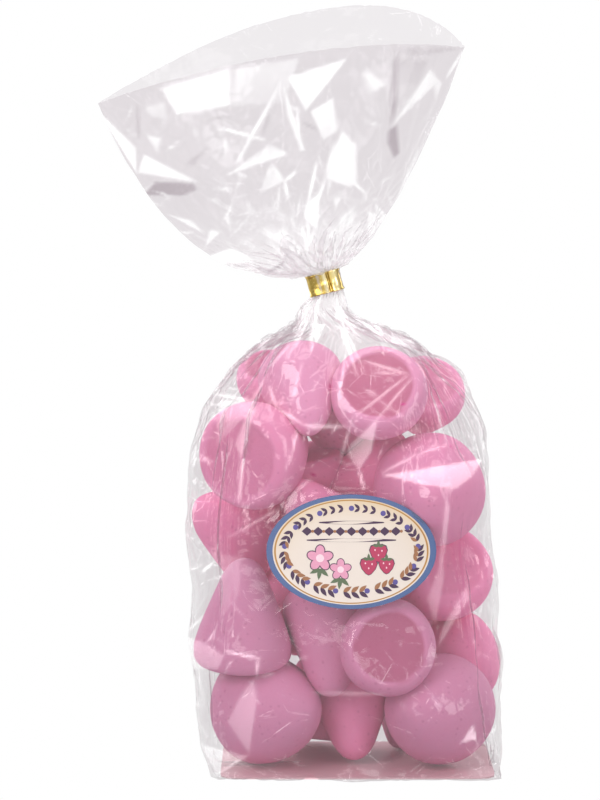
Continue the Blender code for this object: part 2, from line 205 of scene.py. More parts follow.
BODY_PAINTED_HIGHLIGHTS = (
    (0.85, 0.6, 384, 475, 482, 459, 474, 475, 456, 489, 415, 483),
    (0.6, 0.6, 378, 418, 371, 452, 359, 470, 347, 454, 351, 444), (0.8, 0.5, 302, 424, 354, 426, 313, 430),
    (0.45, 0.5, 219, 400, 251, 402, 249, 412, 217, 445), (0.6, 0.6, 256, 407, 241, 458, 235, 444, 250, 405),
    (0.6, 0.8, 241, 458, 245, 459, 241, 500, 237, 500), (0.35, 0.3, 408, 374, 364, 361, 384, 373),
    (0.5, 0.6, 364, 389, 374, 391, 378, 396, 370, 397), (1.0, 0.9, 311, 324, 325, 325, 315, 338),
    (1.0, 0.9, 337, 295, 343, 309, 349, 319, 335, 319), (0.9, 0.7, 321, 326, 323, 329, 316, 345, 315, 338),
    (0.8, 0.8, 346, 328, 349, 332, 343, 343, 342, 334), (0.7, 0.8, 309, 330, 314, 346, 311, 355),
    (0.5, 0.4, 374, 332, 415, 346, 413, 340, 396, 335), (0.7, 0.8, 311, 301, 314, 307, 299, 324, 296, 322),
    (0.6, 1.0, 384, 472, 417, 454), (0.6, 1.0, 417, 454, 447, 445), (0.5, 1.0, 432, 393, 447, 442),
    (0.9, 1.0, 359, 470, 364, 489), (0.6, 1.0, 411, 379, 378, 418), (0.9, 1.0, 269, 387, 277, 408),
    (0.9, 1.0, 277, 408, 302, 424), (0.9, 1.0, 215, 394, 252, 401), (0.7, 1.0, 408, 374, 364, 361),
    (0.5, 1.0, 408, 374, 372, 373), (0.6, 1.0, 408, 375, 356, 416), (0.5, 1.0, 347, 344, 338, 404),
    (0.35, 1.0, 372, 395, 419, 428), (0.45, 1.0, 353, 416, 341, 458), (0.5, 1.0, 302, 363, 292, 403),
    (0.6, 1.0, 290, 344, 270, 367), (0.5, 1.0, 253, 399, 264, 379), (0.9, 1.0, 362, 322, 386, 339),
    (0.7, 1.0, 381, 339, 415, 347), (0.5, 1.0, 476, 418, 490, 469), (0.7, 1.0, 211, 395, 219, 385),
    (0.5, 1.0, 294, 493, 311, 479), (0.7, 1.0, 302, 307, 294, 332), (0.7, 1.0, 342, 297, 360, 321),
    (0.35, 0.7, 253, 673, 257, 700, 249, 753, 227, 721, 225, 713, 243, 692),
    (0.45, 0.5, 203, 745, 246, 756, 218, 773),
    (0.45, 0.6, 467, 585, 469, 599, 451, 627, 438, 647, 443, 627),
    (0.45, 0.8, 446, 494, 450, 509, 443, 564, 439, 570), (0.3, 0.7, 443, 559, 444, 578, 435, 624, 427, 599),
    (0.85, 0.9, 473, 725, 476, 739, 461, 743), (0.8, 0.9, 497, 724, 496, 730, 491, 733),
    (0.4, 0.5, 258, 678, 275, 675, 270, 672), (0.25, 0.5, 221, 555, 241, 557, 239, 595, 220, 620),
    (0.25, 0.6, 436, 648, 430, 669, 427, 656), (0.4, 0.7, 188, 637, 207, 644, 224, 656, 218, 669, 188, 669),
    (0.9, 1.0, 225, 651, 258, 658), (0.7, 1.0, 258, 658, 257, 675), (0.7, 1.0, 246, 756, 217, 774),
    (0.4, 1.0, 202, 744, 218, 774), (0.3, 1.0, 312, 693, 384, 694), (0.35, 1.0, 231, 536, 279, 509),
    (0.6, 1.0, 249, 522, 243, 503), (0.8, 1.0, 202, 572, 214, 562), (0.4, 1.0, 186, 633, 203, 616),
    (0.35, 1.0, 489, 608, 502, 620),
)
# Folds that show as a dim patch, in the same way
DIM_FOLDS = (
    (0.6, 1.0, 398, 50, 400, 55, 398, 105, 392, 128, 393, 77),
    (0.7, 1.0, 390, 130, 398, 125, 400, 153, 395, 158, 389, 143), (0.3, 0.3, 399, 47, 463, 48, 414, 57),
    (0.2, 0.5, 399, 59, 429, 60, 419, 84, 399, 84),
    (0.7, 0.9, 144, 195, 155, 182, 192, 184, 196, 190, 182, 196), (0.3, 0.5, 185, 163, 206, 148, 192, 168),
    (0.35, 1.0, 137, 107, 138, 138), (0.5, 1.0, 269, 272, 284, 264),
    (0.6, 1.0, 307, 217, 313, 217, 310, 224), (0.25, 1.0, 209, 119, 228, 115),
    (0.3, 1.0, 268, 115, 262, 135), (0.25, 1.0, 302, 122, 317, 129),
)
# Small painted highlights scattered in parts of the picture: how many, between which corners, and how long at most
FRILL_SCATTER = (
    (30, (150, 180), (400, 262), 9.0), (110, (225, 195), (385, 270), 8.0), (14, (110, 110), (250, 200), 8.0),
    (12, (280, 90), (430, 190), 9.0),
)
BODY_SCATTER = (
    (45, (240, 300), (430, 350), 8.0), (26, (187, 400), (222, 780), 9.0), (26, (472, 400), (503, 780), 9.0),
    (30, (225, 345), (470, 480), 9.0), (12, (225, 580), (470, 760), 7.0),
)
FOLD_SOFTNESS = 2.2
LINE_HALF_WIDTH = 1.5

# The camera, and the lights that the painted highlights turn to: in front at the left, and behind at the left
CAMERA_AIM = np.array([-20.9, 0.0, 139.8])
CAMERA_DISTANCE = 1100.0
CAMERA_ELEVATION = math.radians(5.2)
CAMERA_LENS = 130.0
SENSOR_SIZE = 36.0
PICTURE_SIZE = np.array([600.0, 800.0])
KEY_PLACE = np.array([-750.0, -950.0, 750.0])


def smooth_step(low, high, value):
    share = np.clip((value - low) / (high - low), 0.0, 1.0)
    return share * share * (3.0 - 2.0 * share)


def curve_through(points, values, at):
    """A smooth curve through the values given at rising points, with no overshoot between them."""
    points = np.asarray(points, float)
    values = np.asarray(values, float)
    step = np.diff(points)
    slope = np.diff(values) / step
    tangent = np.zeros(len(points))
    tangent[0] = slope[0]
    tangent[-1] = slope[-1]
    same_way = slope[:-1] * slope[1:] > 0
    mean = 2.0 * slope[:-1] * slope[1:] / np.where(same_way, slope[:-1] + slope[1:], 1.0)
    tangent[1:-1] = np.where(same_way, mean, 0.0)
    k = np.clip(np.searchsorted(points, at, side="right") - 1, 0, len(step) - 1)
    t = (at - points[k]) / step[k]
    before = (2 * t**3 - 3 * t**2 + 1) * values[k] + (t**3 - 2 * t**2 + t) * step[k] * tangent[k]
    after = (3 * t**2 - 2 * t**3) * values[k + 1] + (t**3 - t**2) * step[k] * tangent[k + 1]
    return before + after


# Form of the bag

def panel_directions(count):
    """Points on the outline of a unit square, in step with the girth of the base, from its front left corner."""
    along = np.arange(count) / count * GIRTH
    corners = np.cumsum([0.0, BASE_WIDTH, BASE_DEPTH, BASE_WIDTH, BASE_DEPTH])
    x = np.interp(along, corners, (-1.0, 1.0, 1.0, -1.0, -1.0))
    y = np.interp(along, corners, (-1.0, -1.0, 1.0, 1.0, -1.0))
    return x, y


def superellipse(x, y, squareness):
    """Moves points of the unit square's outline onto a superellipse that fits in it."""
    radius = (np.abs(x) ** squareness + np.abs(y) ** squareness) ** (1.0 / squareness)
    return x / radius, y / radius


def body_section(height):
    """Centre, half width, half depth and squareness of the bag at a height."""
    table = np.array(BODY_SECTIONS)
    left, right, depth, squareness = (curve_through(table[:, 0], table[:, i], height) for i in (1, 2, 3, 4))
    return (left + right) / 2.0, (right - left) / 2.0, depth, squareness


def body_ring(height, x_share, y_share):
    centre, half_width, depth, squareness = body_section(height)
    x, y = superellipse(x_share, y_share, squareness)
    return np.stack([centre + x * half_width, y * depth, np.full(len(x), height)], axis=1)


def neck_ring(along, half_width, half_depth, x_share, y_share):
    """An oval section of the neck, a given way along the leaning axis of the tie."""
    x, y = superellipse(x_share, y_share, NECK_SQUARENESS)
    across = np.array([math.cos(TIE_TILT), 0.0, math.sin(TIE_TILT)])
    axis = np.array([-math.sin(TIE_TILT), 0.0, math.cos(TIE_TILT)])
    middle = TIE_CENTRE + axis * along
    return middle + np.outer(x * half_width, across) + np.outer(y * half_depth, (0.0, 1.0, 0.0))


def lens(x_share, y_share):
    """The frill's flattened section: its sharp edges are the middle folds of the gussets.
    Gives -1 at the left edge to 1 at the right, and how far the sheet bows out, -1 in front and 1 behind."""
    on_side = np.abs(x_share) > 0.9999
    across = np.where(on_side, PANEL_SHARE + (1.0 - PANEL_SHARE) * (1.0 - np.abs(y_share)), PANEL_SHARE * np.abs(x_share))
    bow = 1.0 - across**LENS_POWER
    return np.sign(x_share) * across, np.sign(y_share) * bow


def frill_ring(share, x_share, y_share):
    """One ring of the frill: share 0 is the gathered neck and 1 the open edge."""
    start = neck_ring(TIE_HEIGHT / 2.0, NECK_HALF_WIDTH, NECK_HALF_DEPTH, x_share, y_share)
    side, bow = lens(x_share, y_share)
    middle = (LEFT_TIP + RIGHT_TIP) / 2.0
    crest = np.where(bow[:, None] > 0, BACK_CREST - middle, FRONT_CREST - middle)
    end = middle + np.outer(side, (RIGHT_TIP - LEFT_TIP) / 2.0) + crest * np.abs(bow)[:, None]
    control = (LEFT_BULGE + RIGHT_BULGE) / 2.0 + np.outer(side, (RIGHT_BULGE - LEFT_BULGE) / 2.0)
    control[:, 1] += bow * BULGE_HALF_DEPTH
    return (1 - share) ** 2 * start + 2 * share * (1 - share) * control + share**2 * end


def label_back(x):
    """Y of the label's back face, which bends with the front of the bag."""
    return LABEL_CENTRE[1] + LABEL_THICKNESS + (x - LABEL_CENTRE[0]) ** 2 / (2.0 * LABEL_BEND_RADIUS)


def label_reach(x, z):
    """0 at the middle of the label and 1 on its edge."""
    return np.hypot((x - LABEL_CENTRE[0]) / LABEL_HALF_WIDTH, (z - LABEL_CENTRE[2]) / LABEL_HALF_HEIGHT)


# Helpers for meshes and materials

def new_object(name, vertices, faces, material=None, smooth=True):
    """Makes a mesh object from points in millimetres."""
    mesh = bpy.data.meshes.new(name)
    mesh.from_pydata((np.asarray(vertices, float) * MM).tolist(), [], [list(face) for face in faces])
    mesh.validate()
    obj = bpy.data.objects.new(name, mesh)
    bpy.context.scene.collection.objects.link(obj)
    if material is not None:
        mesh.materials.append(material)
    if smooth:
        mesh.shade_smooth()
    return obj


def grid_faces(rows, columns, start=0):
    """Quads of a tube of rows of points, closed round its columns."""
    j, i = np.meshgrid(np.arange(rows - 1), np.arange(columns), indexing="ij")
    following = (i + 1) % columns
    quads = np.stack([
        j * columns + i, j * columns + following, (j + 1) * columns + following, (j + 1) * columns + i,
    ], axis=-1)
    return quads.reshape(-1, 4) + start


class Shader:
    """A short way to write a material's node tree."""

    def __init__(self, name):
        self.material = bpy.data.materials.new(name)
        self.material.use_nodes = True
        self.tree = self.material.node_tree
        self.tree.nodes.clear()
        self.output = self.tree.nodes.new("ShaderNodeOutputMaterial")

    def node(self, kind, settings=None, **inputs):
        """Adds a node. Inputs are values or other nodes' sockets, named as Blender names them."""
        node = self.tree.nodes.new("ShaderNode" + kind)
        for key, value in (settings or {}).items():
            setattr(node, key, value)
        for key, value in inputs.items():
            name = key.replace("_", " ")
            socket = node.inputs[int(name)] if name.isdigit() else node.inputs[name]
            self.put(socket, value)
        return node

    def put(self, socket, value):
        if isinstance(value, bpy.types.NodeSocket):
            self.tree.links.new(value, socket)
        else:
            socket.default_value = value

    def math(self, operation, first, second=0.0, clamp=False):
        node = self.node("Math", {"operation": operation, "use_clamp": clamp})
        self.put(node.inputs[0], first)
        self.put(node.inputs[1], second)
        return node.outputs[0]

    def mix(self, share, first, second, blend="MIX"):
        node = self.node("Mix", {"data_type": "RGBA", "blend_type": blend})
        self.put(node.inputs["Factor"], share)
        self.put(node.inputs[6], first)
        self.put(node.inputs[7], second)
        return node.outputs[2]

    def ramp(self, value, *stops):
        node = self.node("ValToRGB")
        elements = node.color_ramp.elements
        while len(elements) < len(stops):
            elements.new(0.5)
        for element, (position, colour) in zip(elements, stops):
            element.position = position
            element.color = colour if len(colour) == 4 else (*colour, 1.0)
        self.put(node.inputs[0], value)
        return node.outputs[0]

    def noise(self, scale, detail=3.0, roughness=0.5, coordinates=None):
        if coordinates is None:
            coordinates = self.node("TexCoord").outputs["Object"]
        node = self.node("TexNoise", Vector=coordinates, Scale=scale, Detail=detail, Roughness=roughness)
        return node.outputs["Fac"]

    def bump(self, height, strength, distance):
        return self.node("Bump", Height=height, Strength=strength, Distance=distance).outputs[0]

    def finish(self, surface):
        self.tree.links.new(surface, self.output.inputs["Surface"])
        return self.material


def srgb(red, green, blue):
    """Linear colour from the 0 to 255 values that a screen shows."""
    values = np.array([red, green, blue]) / 255.0
    linear = np.where(values <= 0.04045, values / 12.92, ((values + 0.055) / 1.055) ** 2.4)
    return (*linear.tolist(), 1.0)


# Meringues

def profile_curve(name, steps=46):
    """A smooth line through a profile's points, evenly spaced along it."""
    points = np.array(PROFILES[name])
    along = np.concatenate([[0.0], np.cumsum(np.hypot(*np.diff(points, axis=0).T))])
    fine = np.linspace(0.0, along[-1], steps)
    return np.stack([curve_through(along, points[:, 0], fine), curve_through(along, points[:, 1], fine)], axis=1)


TABLE_STEP = 0.5
TABLE_LOW = -16.0
TABLE_HIGH = 62.0
TABLE_WIDE = 42.0


def distance_table(name):
    """How far each point is outside a meringue of this profile, by its height along the axis and its radius."""
    line = profile_curve(name)
    heights = np.arange(TABLE_LOW, TABLE_HIGH, TABLE_STEP)
    radii = np.arange(0.0, TABLE_WIDE, TABLE_STEP)
    h, r = np.meshgrid(heights, radii, indexing="ij")
    here = np.stack([r, h], axis=-1)[:, :, None, :]
    start = line[:-1]
    step = line[1:] - start
    share = np.clip(((here - start) * step).sum(-1) / ((step**2).sum(-1) + 1e-9), 0.0, 1.0)
    distance = np.linalg.norm(here - (start + share[..., None] * step), axis=-1).min(axis=-1)
    inside = (h > 0) & (h < line[-1, 1]) & (r < np.interp(h, line[:, 1] + np.arange(len(line)) * 1e-6, line[:, 0]))
    distance = np.where(inside, -distance, distance)
    slope_h, slope_r = np.gradient(distance, TABLE_STEP)
    return np.stack([distance, slope_h, slope_r], axis=-1).astype(np.float32)


def look_up(table, height, radius):
    """The table's values at these heights and radii, blended between its steps."""
    row = np.clip((height - TABLE_LOW) / TABLE_STEP, 0, table.shape[0] - 1.001)
    column = np.clip(radius / TABLE_STEP, 0, table.shape[1] - 1.001)
    j = row.astype(int)
    i = column.astype(int)
    v = (row - j)[:, None]
    u = (column - i)[:, None]
    lower = table[j, i] * (1 - u) + table[j, i + 1] * u
    upper = table[j + 1, i] * (1 - u) + table[j + 1, i + 1] * u
    return lower * (1 - v) + upper * v


def outside(points, kiss, tables):
    """Distance of points outside one meringue, and the way out of it."""
    offset = points - kiss["middle"]
    along = offset @ kiss["tip"]
    radial = offset - along[:, None] * kiss["tip"]
    radius = np.linalg.norm(radial, axis=1)
    found = look_up(tables[kiss["profile"]], along / kiss["size"] + BELLY_HEIGHT, radius / kiss["size"])
    way = found[:, 1:2] * kiss["tip"] + found[:, 2:3] * radial / (radius[:, None] + 1e-6)
    return found[:, 0] * kiss["size"], way


def axes_of(tip):
    """Two directions at right angles to a meringue's axis."""
    helper = np.array([0.0, 0.0, 1.0]) if abs(tip[2]) < 0.8 else np.array([1.0, 0.0, 0.0])
    first = np.cross(helper, tip)
    first /= np.linalg.norm(first)
    return first, np.cross(tip, first)


def surface_points(kiss, around=16, steps=14):
    line = (profile_curve(kiss["profile"], steps) - (0.0, BELLY_HEIGHT)) * kiss["size"]
    first, second = axes_of(kiss["tip"])
    turn = np.arange(around) * 2.0 * math.pi / around
    ring = np.outer(np.cos(turn), first) + np.outer(np.sin(turn), second)
    points = line[:, None, :1] * ring[None] + line[:, None, 1:] * kiss["tip"]
    return points.reshape(-1, 3) + kiss["middle"]


def settle(kisses, tables, rounds=60):
    """Pushes overlapping meringues apart and keeps them inside the film, on the card and behind the label.
    The ones that show from the front keep their places best, and give way mostly in depth."""
    freedom = np.where(np.arange(len(kisses))[:, None] < FRONT_COUNT, (0.0, 0.4, 0.0), (1.0, 1.0, 1.0))
    for _ in range(rounds):
        clouds = [surface_points(kiss) for kiss in kisses]
        push = np.zeros((len(kisses), 3))
        for a, kiss in enumerate(kisses):
            for b, other in enumerate(kisses):
                if a == b or np.linalg.norm(kiss["middle"] - other["middle"]) > 66.0:
                    continue
                depth, way = outside(clouds[a], other, tables)
                deepest = depth.argmin()
                if depth[deepest] < CLEARANCE:
                    step = way[deepest] * (CLEARANCE - depth[deepest]) * 0.4
                    push[a] += step
                    push[b] -= step
            push[a] += push_inside(clouds[a])
        push *= freedom
        for kiss, step in zip(kisses, push):
            moved = kiss["middle"] + step - kiss["listed"]
            kiss["middle"] = kiss["listed"] + moved * min(1.0, TRAVEL / (np.linalg.norm(moved) + 1e-9))
    for kiss in kisses:
        kiss["middle"][2] += max(CARD_TOP + 0.4 - surface_points(kiss)[:, 2].min(), 0.0)


def push_inside(cloud):
    """The step that brings one meringue's surface points back inside the film and behind the label."""
    push = np.zeros(3)
    centre, half_width, depth, squareness = body_section(np.clip(cloud[:, 2], 0.0, TOP_OF_FILLING))
    x = (cloud[:, 0] - centre) / (half_width - WALL_ROOM)
    y = cloud[:, 1] / (depth - WALL_ROOM)
    reach = (np.abs(x) ** squareness + np.abs(y) ** squareness) ** (1.0 / squareness)
    worst = reach.argmax()
    if reach[worst] > 1.0:
        over = 1.0 - 1.0 / reach[worst]
        push -= np.array([cloud[worst, 0] - centre[worst], cloud[worst, 1], 0.0]) * over
    behind_label = label_reach(cloud[:, 0], cloud[:, 2]) < 1.05
    ahead = np.where(behind_label, label_back(cloud[:, 0]) + 0.9 - cloud[:, 1], 0.0).max()
    push[1] += max(ahead, 0.0)
    push[2] += max(CARD_TOP - cloud[:, 2].min(), 0.0)
    push[2] -= max(cloud[:, 2].max() - TOP_OF_FILLING, 0.0)
    return push


def prepare_meringues():
    kisses = []
    for middle, tip, size, profile, shade in MERINGUES:
        tip = np.array(tip) / np.linalg.norm(tip)
        kisses.append({
            "listed": np.array(middle), "middle": np.array(middle), "tip": tip,
            "size": size, "profile": profile, "shade": shade,
        })
    tables = {name: distance_table(name) for name in PROFILES}
    settle(kisses, tables)
    return kisses, tables


def meringue_material():
    s = Shader("meringue")
    mark = s.node("Attribute", {"attribute_name": "mark"})
    parts = s.node("SeparateColor", Color=mark.outputs["Color"])
    disc, shade, fleck = parts.outputs
    # The mark's alpha is painted shade: the lower meringues are darker, as the light falls off lower in the bag.
    tone = s.node("CombineColor", **{"0": mark.outputs["Alpha"], "1": mark.outputs["Alpha"], "2": mark.outputs["Alpha"]})
    cloud = s.noise(42.0, 4.0, 0.55)
    pale = s.mix(cloud, (0.84, 0.405, 0.625, 1.0), (0.76, 0.325, 0.54, 1.0))
    strong = s.mix(cloud, (1.0, 0.335, 0.575, 1.0), (0.94, 0.27, 0.50, 1.0))
    colour = s.mix(shade, pale, strong)
    baked = s.mix(s.noise(160.0, 3.0), (0.64, 0.135, 0.28, 1.0), (0.56, 0.105, 0.23, 1.0))
    colour = s.mix(s.math("MULTIPLY", disc, 0.9), colour, baked)
    specks = s.node("TexVoronoi", {"feature": "F1"}, Scale=330.0, Randomness=1.0,
                    Vector=s.node("TexCoord").outputs["Object"]).outputs["Distance"]
    speck = s.math("LESS_THAN", specks, s.math("MULTIPLY", s.noise(90.0, 2.0), 0.32))
    colour = s.mix(s.math("MULTIPLY", speck, 0.22), colour, (0.42, 0.10, 0.19, 1.0))
    # Multiplies in the painted shade of the lower meringues.
    colour = s.mix(1.0, colour, tone.outputs[0], "MULTIPLY")
    colour = s.mix(fleck, colour, (0.75, 0.02, 0.30, 1.0))
    pores = s.node("TexVoronoi", {"feature": "F1"}, Scale=700.0,
                   Vector=s.node("TexCoord").outputs["Object"]).outputs["Distance"]
    height = s.math("ADD", s.math("MULTIPLY", pores, 0.25), s.noise(420.0, 5.0, 0.6))
    shader = s.node(
        "BsdfPrincipled", Base_Color=colour, Roughness=0.62, Subsurface_Weight=0.25,
        Subsurface_Radius=(1.0, 0.45, 0.55), Subsurface_Scale=0.004,
        Normal=s.bump(height, 0.25, 0.0004),
    )
    shader.inputs["Specular IOR Level"].default_value = 0.28
    return s.finish(shader.outputs[0])


def kiss_mesh(kiss, rng, around=64, steps=46):
    """Points and marks of one meringue: its profile turned round its axis, uneven as piping leaves it."""
    line = profile_curve(kiss["profile"], steps)
    turn = np.arange(around) * 2.0 * math.pi / around
    height = line[:, 1:2]
    top = line[-1, 1]
    share = height / top
    phase = rng.uniform(0.0, 2.0 * math.pi, 8)
    amount = rng.uniform(0.4, 1.0, 8)
    uneven = 1.0 + 0.016 * amount[0] * np.cos(2 * turn + phase[0] + 0.8 * share)
    uneven += 0.010 * amount[1] * np.cos(3 * turn + phase[1] - 1.5 * share)
    uneven += 0.006 * amount[2] * np.cos(5 * turn + phase[2] + 3.0 * share)
    uneven += 0.008 * amount[3] * np.sin(9.0 * share + phase[3]) * (1.0 - share)
    radius = line[:, 0:1] * uneven
    edge = BASE_DISC + 0.35 * np.cos(3 * turn + phase[4]) + 0.25 * np.cos(7 * turn + phase[5])
    disc = (1.0 - smooth_step(-0.5, 0.5, radius - edge)) * (1.0 - smooth_step(0.5, 1.5, height))
    lift = disc * (0.55 + 0.25 * np.cos(2 * turn + phase[6]) * np.clip(radius / BASE_DISC, 0, 1))
    lean = 0.7 * amount[7] * np.clip(share - 0.35, 0.0, 1.0) ** 2 / 0.42
    x = radius * np.cos(turn) + lean * math.cos(phase[7])
    y = radius * np.sin(turn) + lean * math.sin(phase[7])
    z = height + lift - BELLY_HEIGHT
    first, second = axes_of(kiss["tip"])
    points = x[..., None] * first + y[..., None] * second + z[..., None] * kiss["tip"]
    points = points * kiss["size"] + kiss["middle"]
    return points, disc


def add_meringues(kisses, material):
    rng = np.random.RandomState(11)
    around = 64
    steps = 46
    vertices = []
    faces = []
    marks = []
    count = 0
    for kiss in kisses:
        points, disc = kiss_mesh(kiss, rng, around, steps)
        start = count
        ring_points = points[1:-1].reshape(-1, 3)
        ends = np.stack([points[0].mean(axis=0), points[-1].mean(axis=0)])
        vertices.append(np.concatenate([ring_points, ends]))
        count += len(ring_points) + 2
        quads = grid_faces(steps - 2, around, start)[:, ::-1]
        faces.extend(quads.tolist())
        first_end = start + len(ring_points)
        last_ring = start + (steps - 3) * around
        for i in range(around):
            j = (i + 1) % around
            faces.append((start + i, start + j, first_end))
            faces.append((last_ring + j, last_ring + i, first_end + 1))
        mark = np.zeros((len(ring_points) + 2, 4), np.float32)
        baked = np.clip(1.6 - 1.7 * kiss["shade"], 0.1, 1.0)
        mark[:-2, 0] = disc[1:-1].reshape(-1) * baked
        mark[-2, 0] = baked
        mark[:, 1] = np.clip(kiss["shade"] + rng.uniform(-0.06, 0.06), 0.0, 1.0)
        from_fleck = np.linalg.norm(picture_place(vertices[-1])[:, None] - np.array(FLECKS), axis=-1).min(axis=1)
        mark[:, 2] = np.clip(1.5 - from_fleck / 2.0, 0.0, 1.0) * (vertices[-1][:, 1] < kiss["middle"][1])
        # Painted shade, darker for the lower meringues, carried in the mark's alpha.
        height = smooth_step(PAINTED_SHADE_FULL_BELOW, PAINTED_SHADE_NONE_ABOVE, kiss["middle"][2])
        mark[:, 3] = 1.0 - PAINTED_SHADE * (1.0 - height) * (1.0 - kiss["shade"])
        marks.append(mark)
    obj = new_object("meringues", np.concatenate(vertices), faces, material)
    attribute = obj.data.attributes.new("mark", "FLOAT_COLOR", "POINT")
    attribute.data.foreach_set("color", np.concatenate(marks).reshape(-1))
    return obj


# Film

def film_rings(columns, body_rows, neck_rows, frill_rows):
    """Rings of points from the base to the open edge, and each ring's place: 0-1 body, 1-2 neck, 2-3 frill."""
    x_share, y_share = panel_directions(columns)
    fine = np.linspace(0.0, BODY_SECTIONS[-1][0], 600)
    half_width = body_section(fine)[1]
    along = np.concatenate([[0.0], np.cumsum(np.hypot(np.diff(fine), np.diff(half_width)))])
    heights = np.interp(np.linspace(0.0, along[-1], body_rows), along, fine)
    rings = [body_ring(height, x_share, y_share) for height in heights]
    for along_tie in np.linspace(-TIE_HEIGHT / 2.0, TIE_HEIGHT / 2.0, neck_rows, endpoint=False):
        rings.append(neck_ring(along_tie, NECK_HALF_WIDTH, NECK_HALF_DEPTH, x_share, y_share))
    for share in np.linspace(0.0, 1.0, frill_rows):
        rings.append(frill_ring(share, x_share, y_share))
    place = np.concatenate([
        np.linspace(0.0, 1.0, body_rows, endpoint=False),
        np.linspace(1.0, 2.0, neck_rows, endpoint=False),
        np.linspace(2.0, 3.0, frill_rows),
    ])
    return np.array(rings, np.float32), place


def ring_lengths(rings):
    gap = np.roll(rings, -1, axis=1) - rings
    return np.sqrt((gap**2).sum(-1)).sum(axis=1)


def outward(rings):
    """Direction out of the tube at each point."""
    along = np.roll(rings, -1, axis=1) - np.roll(rings, 1, axis=1)
    up = np.gradient(rings, axis=0)
    way = np.cross(along, up)
    return way / (np.linalg.norm(way, axis=-1, keepdims=True) + 1e-9)


def pleats(rings, place, rng):
    """Folds that take up the film's spare width, more of them and deeper towards the neck."""
    perimeter = ring_lengths(rings)
    spare = np.minimum(np.clip(GIRTH / perimeter, 1.0, None), np.interp(place, *np.transpose(GATHER))) - 1.0
    turn = np.arange(rings.shape[1]) / rings.shape[1] * 2.0 * math.pi
    push = np.zeros(rings.shape[:2])
    for count, share in ((7, 0.45), (11, 0.6), (16, 0.5), (23, 0.35)):
        phase = rng.uniform(0.0, 2.0 * math.pi) + rng.uniform(-1.5, 1.5) * (place - 1.5)
        bend = 0.7 * np.sin(turn * rng.randint(2, 4) + rng.uniform(0.0, 6.0))
        wave = np.cos(count * turn[None] + phase[:, None] + bend[None])
        push += share * (perimeter / (math.pi * count) * np.sqrt(spare))[:, None] * wave
    room = np.minimum(0.30 * perimeter / math.pi, 9.0)[:, None]
    return room * np.tanh(push / room)


def hold_length(first, second, rest, strength):
    """Moves two sets of points towards their distance at rest."""
    gap = second - first
    length = np.sqrt(np.einsum("ijk,ijk->ij", gap, gap)) + 1e-6
    gap *= (0.5 * strength * (length - rest) / length)[..., None]
    first += gap
    second -= gap


def hold_shape(points, across, upward):
    """One pass over the sheet's lengths across, upward and, more weakly, along its diagonals."""
    hold_length(points[:, 0::2], points[:, 1::2], across[:, 0::2], 1.0)
    hold_length(points[:, 1:-1:2], points[:, 2::2], across[:, 1:-1:2], 1.0)
    hold_length(points[:, -1:], points[:, :1], across[:, -1:], 1.0)
    diagonal = np.hypot(0.5 * (across[:-1] + across[1:]), upward)
    for start in (0, 1):
        lower = points[start:-1:2]
        upper = points[start + 1::2]
        hold_length(lower, upper, upward[start::2], 1.0)
        hold_length(lower[:, :-1], upper[:, 1:], diagonal[start::2, :-1], 0.25)
        hold_length(lower[:, 1:], upper[:, :-1], diagonal[start::2, 1:], 0.25)


def push_out(points, kisses, tables):
    """Moves the film's points out of the meringues."""
    flat = points.reshape(-1, 3)
    for kiss in kisses:
        reach = 36.0 * kiss["size"]
        middle = kiss["middle"] + kiss["tip"] * 10.0
        near = np.nonzero((np.abs(flat - middle) < reach).all(axis=1))[0]
        if len(near) == 0:
            continue
        distance, way = outside(flat[near], kiss, tables)
        short = np.clip(FILM_GAP - distance, 0.0, None)
        flat[near] += (way * short[:, None]).astype(np.float32)


def settle_film(points, target, place, across, upward, kisses, tables, rounds, stiffness):
    """Lets the slack film settle round the meringues and the tie."""
    count = int((place < 1.0).sum())
    tied = ((place > 0.985) & (place <= 2.0)) | (place == 0.0) | (place == 3.0)
    hold = np.interp(place, *np.transpose(HOLD))[:, None, None].astype(np.float32)
    label = np.nonzero(
        (label_reach(target[:count, :, 0], target[:count, :, 2]) < 1.08) & (target[:count, :, 1] < 0.0)
    )
    fixed = points[tied].copy()
    previous = points.copy()
    for step in range(rounds):
        moved = (points - previous) * 0.86
        previous[...] = points
        points += moved
        points += (target - points) * hold
        hold_shape(points, across, upward)
        middle = 0.5 * (np.roll(points, 1, axis=1) + np.roll(points, -1, axis=1)) - points
        middle[1:-1] += 0.5 * (points[2:] + points[:-2]) - points[1:-1]
        points += middle * stiffness
        if step % 3 == 0 or step > rounds - 3:
            push_out(points[:count], kisses, tables)
        points[label[0], label[1], 1] = label_back(points[label[0], label[1], 0]) + 0.25
        np.maximum(points[..., 2], 0.1, out=points[..., 2])
        points[tied] = fixed
    return points


def resample(values, place, new_place, columns):
    """Values on a grid of rings, moved to other rings and to another number of columns."""
    old_columns = values.shape[1]
    turn = np.arange(columns) * old_columns / columns
    left = turn.astype(int)
    share = (turn - left)[None, :, None]
    wide = values[:, left] * (1 - share) + values[:, (left + 1) % old_columns] * share
    low = np.clip(np.searchsorted(place, new_place, side="right") - 1, 0, len(place) - 2)
    step = ((new_place - place[low]) / (place[low + 1] - place[low]))[:, None, None]
    return (wide[low] * (1 - step) + wide[low + 1] * step).astype(np.float32)


